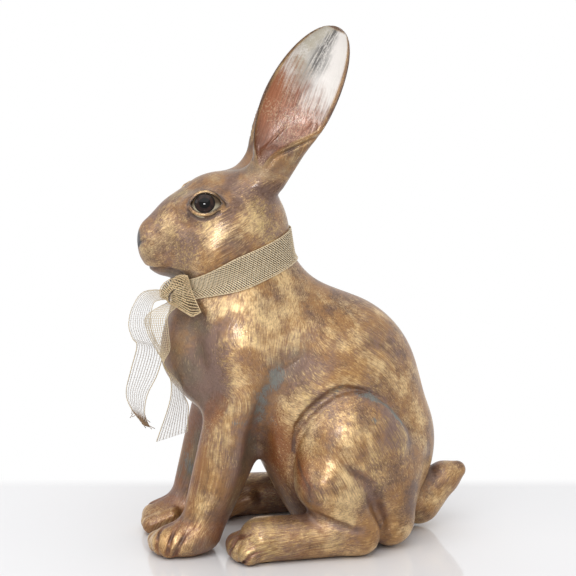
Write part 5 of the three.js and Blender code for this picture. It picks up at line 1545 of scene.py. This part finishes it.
def laid(rows, clears):
    """Rows of steps back, up and left from the knot's middle as points, kept clear of the figure."""
    steps = np.array(rows, float)
    proud = steps[..., 2] - TAB_FACE
    cloth = np.stack([steps[..., 2], steps[..., 0] - 0.194 * proud, steps[..., 1] + 0.185 * proud], axis=-1)
    cloth = KNOT_MIDDLE + cloth
    for row, clear in zip(cloth, clears):
        skin = first_exit(figure, row * (0, 1, 1), np.tile([1.0, 0.0, 0.0], (len(row), 1)), clear)
        row[:, 0] = np.maximum(row[:, 0], skin[:, 0])
    return cloth


tab = laid(KNOT_TAB, TAB_CLEAR)
loop = laid(KNOT_LOOP, [2.0] * len(KNOT_LOOP))
KNOT_LENGTH, _ = spread_of(tab)
# Painted shade: the tab's part folded up behind is dark brown from this share on.
KNOT_FOLD_SHADE = (tone(88, 68, 46), 0.7)
knot_yarn = ribbon_finish(
    "knot_yarn", tone(168, 138, 96), tone(240, 214, 168), tone(222, 196, 152), 0.25, tip=KNOT_FOLD_SHADE,
)
tab_points, tab_faces, yarns = woven(
    lambda s, t: sampled(tab, s, t), KNOT_LENGTH, COLLAR_WIDTH, KNOT_WARP, KNOT_WEFT, slant=0.1,
)
LOOP_LENGTH, _ = spread_of(loop)
inwards = tab.mean(axis=(0, 1)) - loop.mean(axis=(0, 1))
inwards = inwards / np.linalg.norm(inwards)
# The loop's inner layer takes the dark tip tone, as painted shade.
for depth, along in ((0.0, 0.3), (LOOP_LINING, 1.0)):
    loop_points, loop_faces, loop_yarns = woven(
        lambda s, t: sampled(loop + depth * inwards, s, t), LOOP_LENGTH, LOOP_WIDTH, KNOT_WARP, KNOT_WEFT,
    )
    loop_yarns["along"] = np.full(len(loop_points), along)
    tab_faces = np.concatenate([tab_faces, loop_faces + len(tab_points)])
    tab_points = np.concatenate([tab_points, loop_points])
    yarns = {key: np.concatenate([value, loop_yarns[key]]) for key, value in yarns.items()}
knot = piece_of("woven_knot", tab_points, tab_faces, ["ribbon_knot"], knot_yarn, yarns)

# Ribbon ends: two loose tails of the ribbon from behind the knot, sheer against the light. The front one
# folds once and twists to a frayed tip, and the other turns edge-on over the chest and ends in a square cut.
# Each station gives the front and the rear edge as steps left, forward and down from the knot's middle.
FRONT_END = [
    [(-9, 6, -2), (1, 3, 3)], [(-21, 27, 0), (-7, 18, 5)], [(-21, 37, 12), (-5, 23, 9)],
    [(-20, 40.5, 26), (-3, 25, 23)], [(-17, 38, 36), (-3, 21, 36)], [(-14, 35, 42), (-6, 15.5, 46)],
    [(-16, 40, 62), (-5, 20, 63)], [(-19, 43.5, 80), (-5, 28, 79)], [(-16, 40, 92), (-9, 30, 95)],
    [(-13, 30, 106), (-11, 26, 107)],
]
CHEST_END = [
    [(-6, 6, 4), (3, 1, 6)], [(-1, 28, 15), (13, 13, 13)], [(-2, 28, 28), (13, 13, 26)],
    [(-4, 22, 41), (11, 12, 40)], [(-1, 15, 54), (20, 18, 51)], [(4, 11, 66), (6, -1, 68)],
    [(4, 11, 78), (2, -3, 76)], [(4, 14, 90), (0, -3, 87)], [(1, 18, 103), (-1, -3, 98)],
    [(0, 22.5, 116), (0, -2.5, 109)],
]
END_WARP = (2.4, 0.6)
END_WEFT = (1.5, 0.32)
END_COLUMNS = 5
# Painted light: the ends are near white where light shines through them and beige nearer the knot; the front
# end's frayed tip is brown as painted shade.
END_LINES = tone(204, 194, 184)
END_BACKLIT_WHITE = tone(250, 247, 242)
END_EDGE = tone(214, 194, 158)
END_BEIGE = tone(222, 200, 160)
END_TIP_SHADE = tone(150, 118, 84)


def hanging(stations):
    """A grid of points over a ribbon end, kept in front of the chest."""
    edges = KNOT_MIDDLE + np.array(stations, float) * (1, -1, -1)
    shares = np.linspace(0, 1, END_COLUMNS)[None, :, None]
    grid = edges[:, :1] * (1 - shares) + edges[:, 1:] * shares
    points = grid.reshape(-1, 3)
    starts = points.copy()
    starts[:, 1] = CHEST[1]
    front = first_exit(figure, starts, np.tile([0.0, -1.0, 0.0], (len(points), 1)), 1.6)
    points[:, 1] = np.minimum(points[:, 1], front[:, 1])
    return points.reshape(grid.shape)


FRAY_COUNT = 14
FRAY_STEPS = 6


def frayed(strip):
    """Loose threads along both edges of a ribbon's last stretch: paths and their normals."""
    hand = np.random.default_rng(7)
    ahead = strip[1].mean(axis=0) - strip[0].mean(axis=0)
    ahead = ahead / np.linalg.norm(ahead)
    paths = []
    for thread in range(FRAY_COUNT):
        share = (thread + 1) / FRAY_COUNT
        root = strip[0, thread % 2] * (1 - share) + strip[1, thread % 2] * share
        reach = hand.uniform(2.0, 5.0)
        drift = 0.6 * ahead + hand.normal(0, 0.55, 3) * (0.4, 1, 0.8)
        curl = hand.normal(0, 1.2, 3) * (0.5, 1, 1)
        at = np.linspace(0, 1, FRAY_STEPS)[:, None]
        paths.append(root + at * reach * drift + at * at * curl)
    return np.array(paths), np.tile([1.0, 0.0, 0.0], (FRAY_COUNT, FRAY_STEPS, 1))


for name, node, stations, warm_share, tip in (
    ("sheer_front_end", "ribbon_front_end", FRONT_END, 0.12, (END_TIP_SHADE, 0.88)),
    ("sheer_chest_end", "ribbon_chest_end", CHEST_END, 0.55, None),
):
    cloth = hanging(stations)
    length, area = spread_of(cloth)
    end_points, end_faces, yarns = woven(
        lambda s, t: sampled(cloth, s, t), length, COLLAR_WIDTH, END_WARP, END_WEFT,
    )
    if name == "sheer_front_end":
        threads, normals = frayed(cloth[-2:, [0, -1]])
        fray_points, fray_faces = tubes(threads, normals, 0.25, 1.0, False)
        end_faces = np.concatenate([end_faces, fray_faces + len(end_points)])
        end_points = np.concatenate([end_points, fray_points])
        fray_mark = {"selvedge": 1.0, "weft": 0.0, "along": 1.0}
        for key, value in fray_mark.items():
            yarns[key] = np.concatenate([yarns[key], np.full(len(fray_points), value)])
    # Beige near the knot, and painted backlit white further down.
    warm = (END_BEIGE, warm_share)
    sheer_yarn = ribbon_finish(f"{name}_yarn", END_LINES, END_BACKLIT_WHITE, END_EDGE, 0.05, warm, tip)
    end = piece_of(name, end_points, end_faces, [node], sheer_yarn, yarns)

# Hardware: steel dowels in the joints, a rubber stopper in the base and felt pads under the soles, all plain
# turned or punched pieces that stay as made.


def plain_finish(name, scale, detail, dark, light, rough, spread):
    """A plain finish with a grain in its tone and its roughness."""
    material, tree, shader = finish(name)
    grain = noise_at(tree, place_on(tree), scale, detail)
    tree.links.new(mix(tree, grain, dark, light), shader.inputs["Base Color"])
    grained = math_of(tree, "ADD", rough, math_of(tree, "MULTIPLY", grain, spread))
    tree.links.new(grained, shader.inputs["Roughness"])
    return material, shader


felt, shader = plain_finish("brown_felt", 900.0, 5.0, tone(74, 56, 42), tone(112, 88, 66), 0.8, 0.2)
shader.inputs["Sheen Weight"].default_value = 0.5
rubber, _ = plain_finish("black_rubber", 200.0, 4.0, tone(40, 38, 36), tone(66, 62, 58), 0.6, 0.3)
steel, shader = plain_finish("dowel_steel", 700.0, 3.0, tone(140, 142, 146), tone(186, 188, 190), 0.25, 0.2)
shader.inputs["Metallic"].default_value = 1.0

for name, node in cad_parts.items():
    if name.endswith("_dowel"):
        kept = steel
    elif name == "base_plug":
        kept = rubber
    elif name.endswith("_pad"):
        kept = felt
    else:
        continue
    node.data.materials.clear()
    node.data.materials.append(kept)
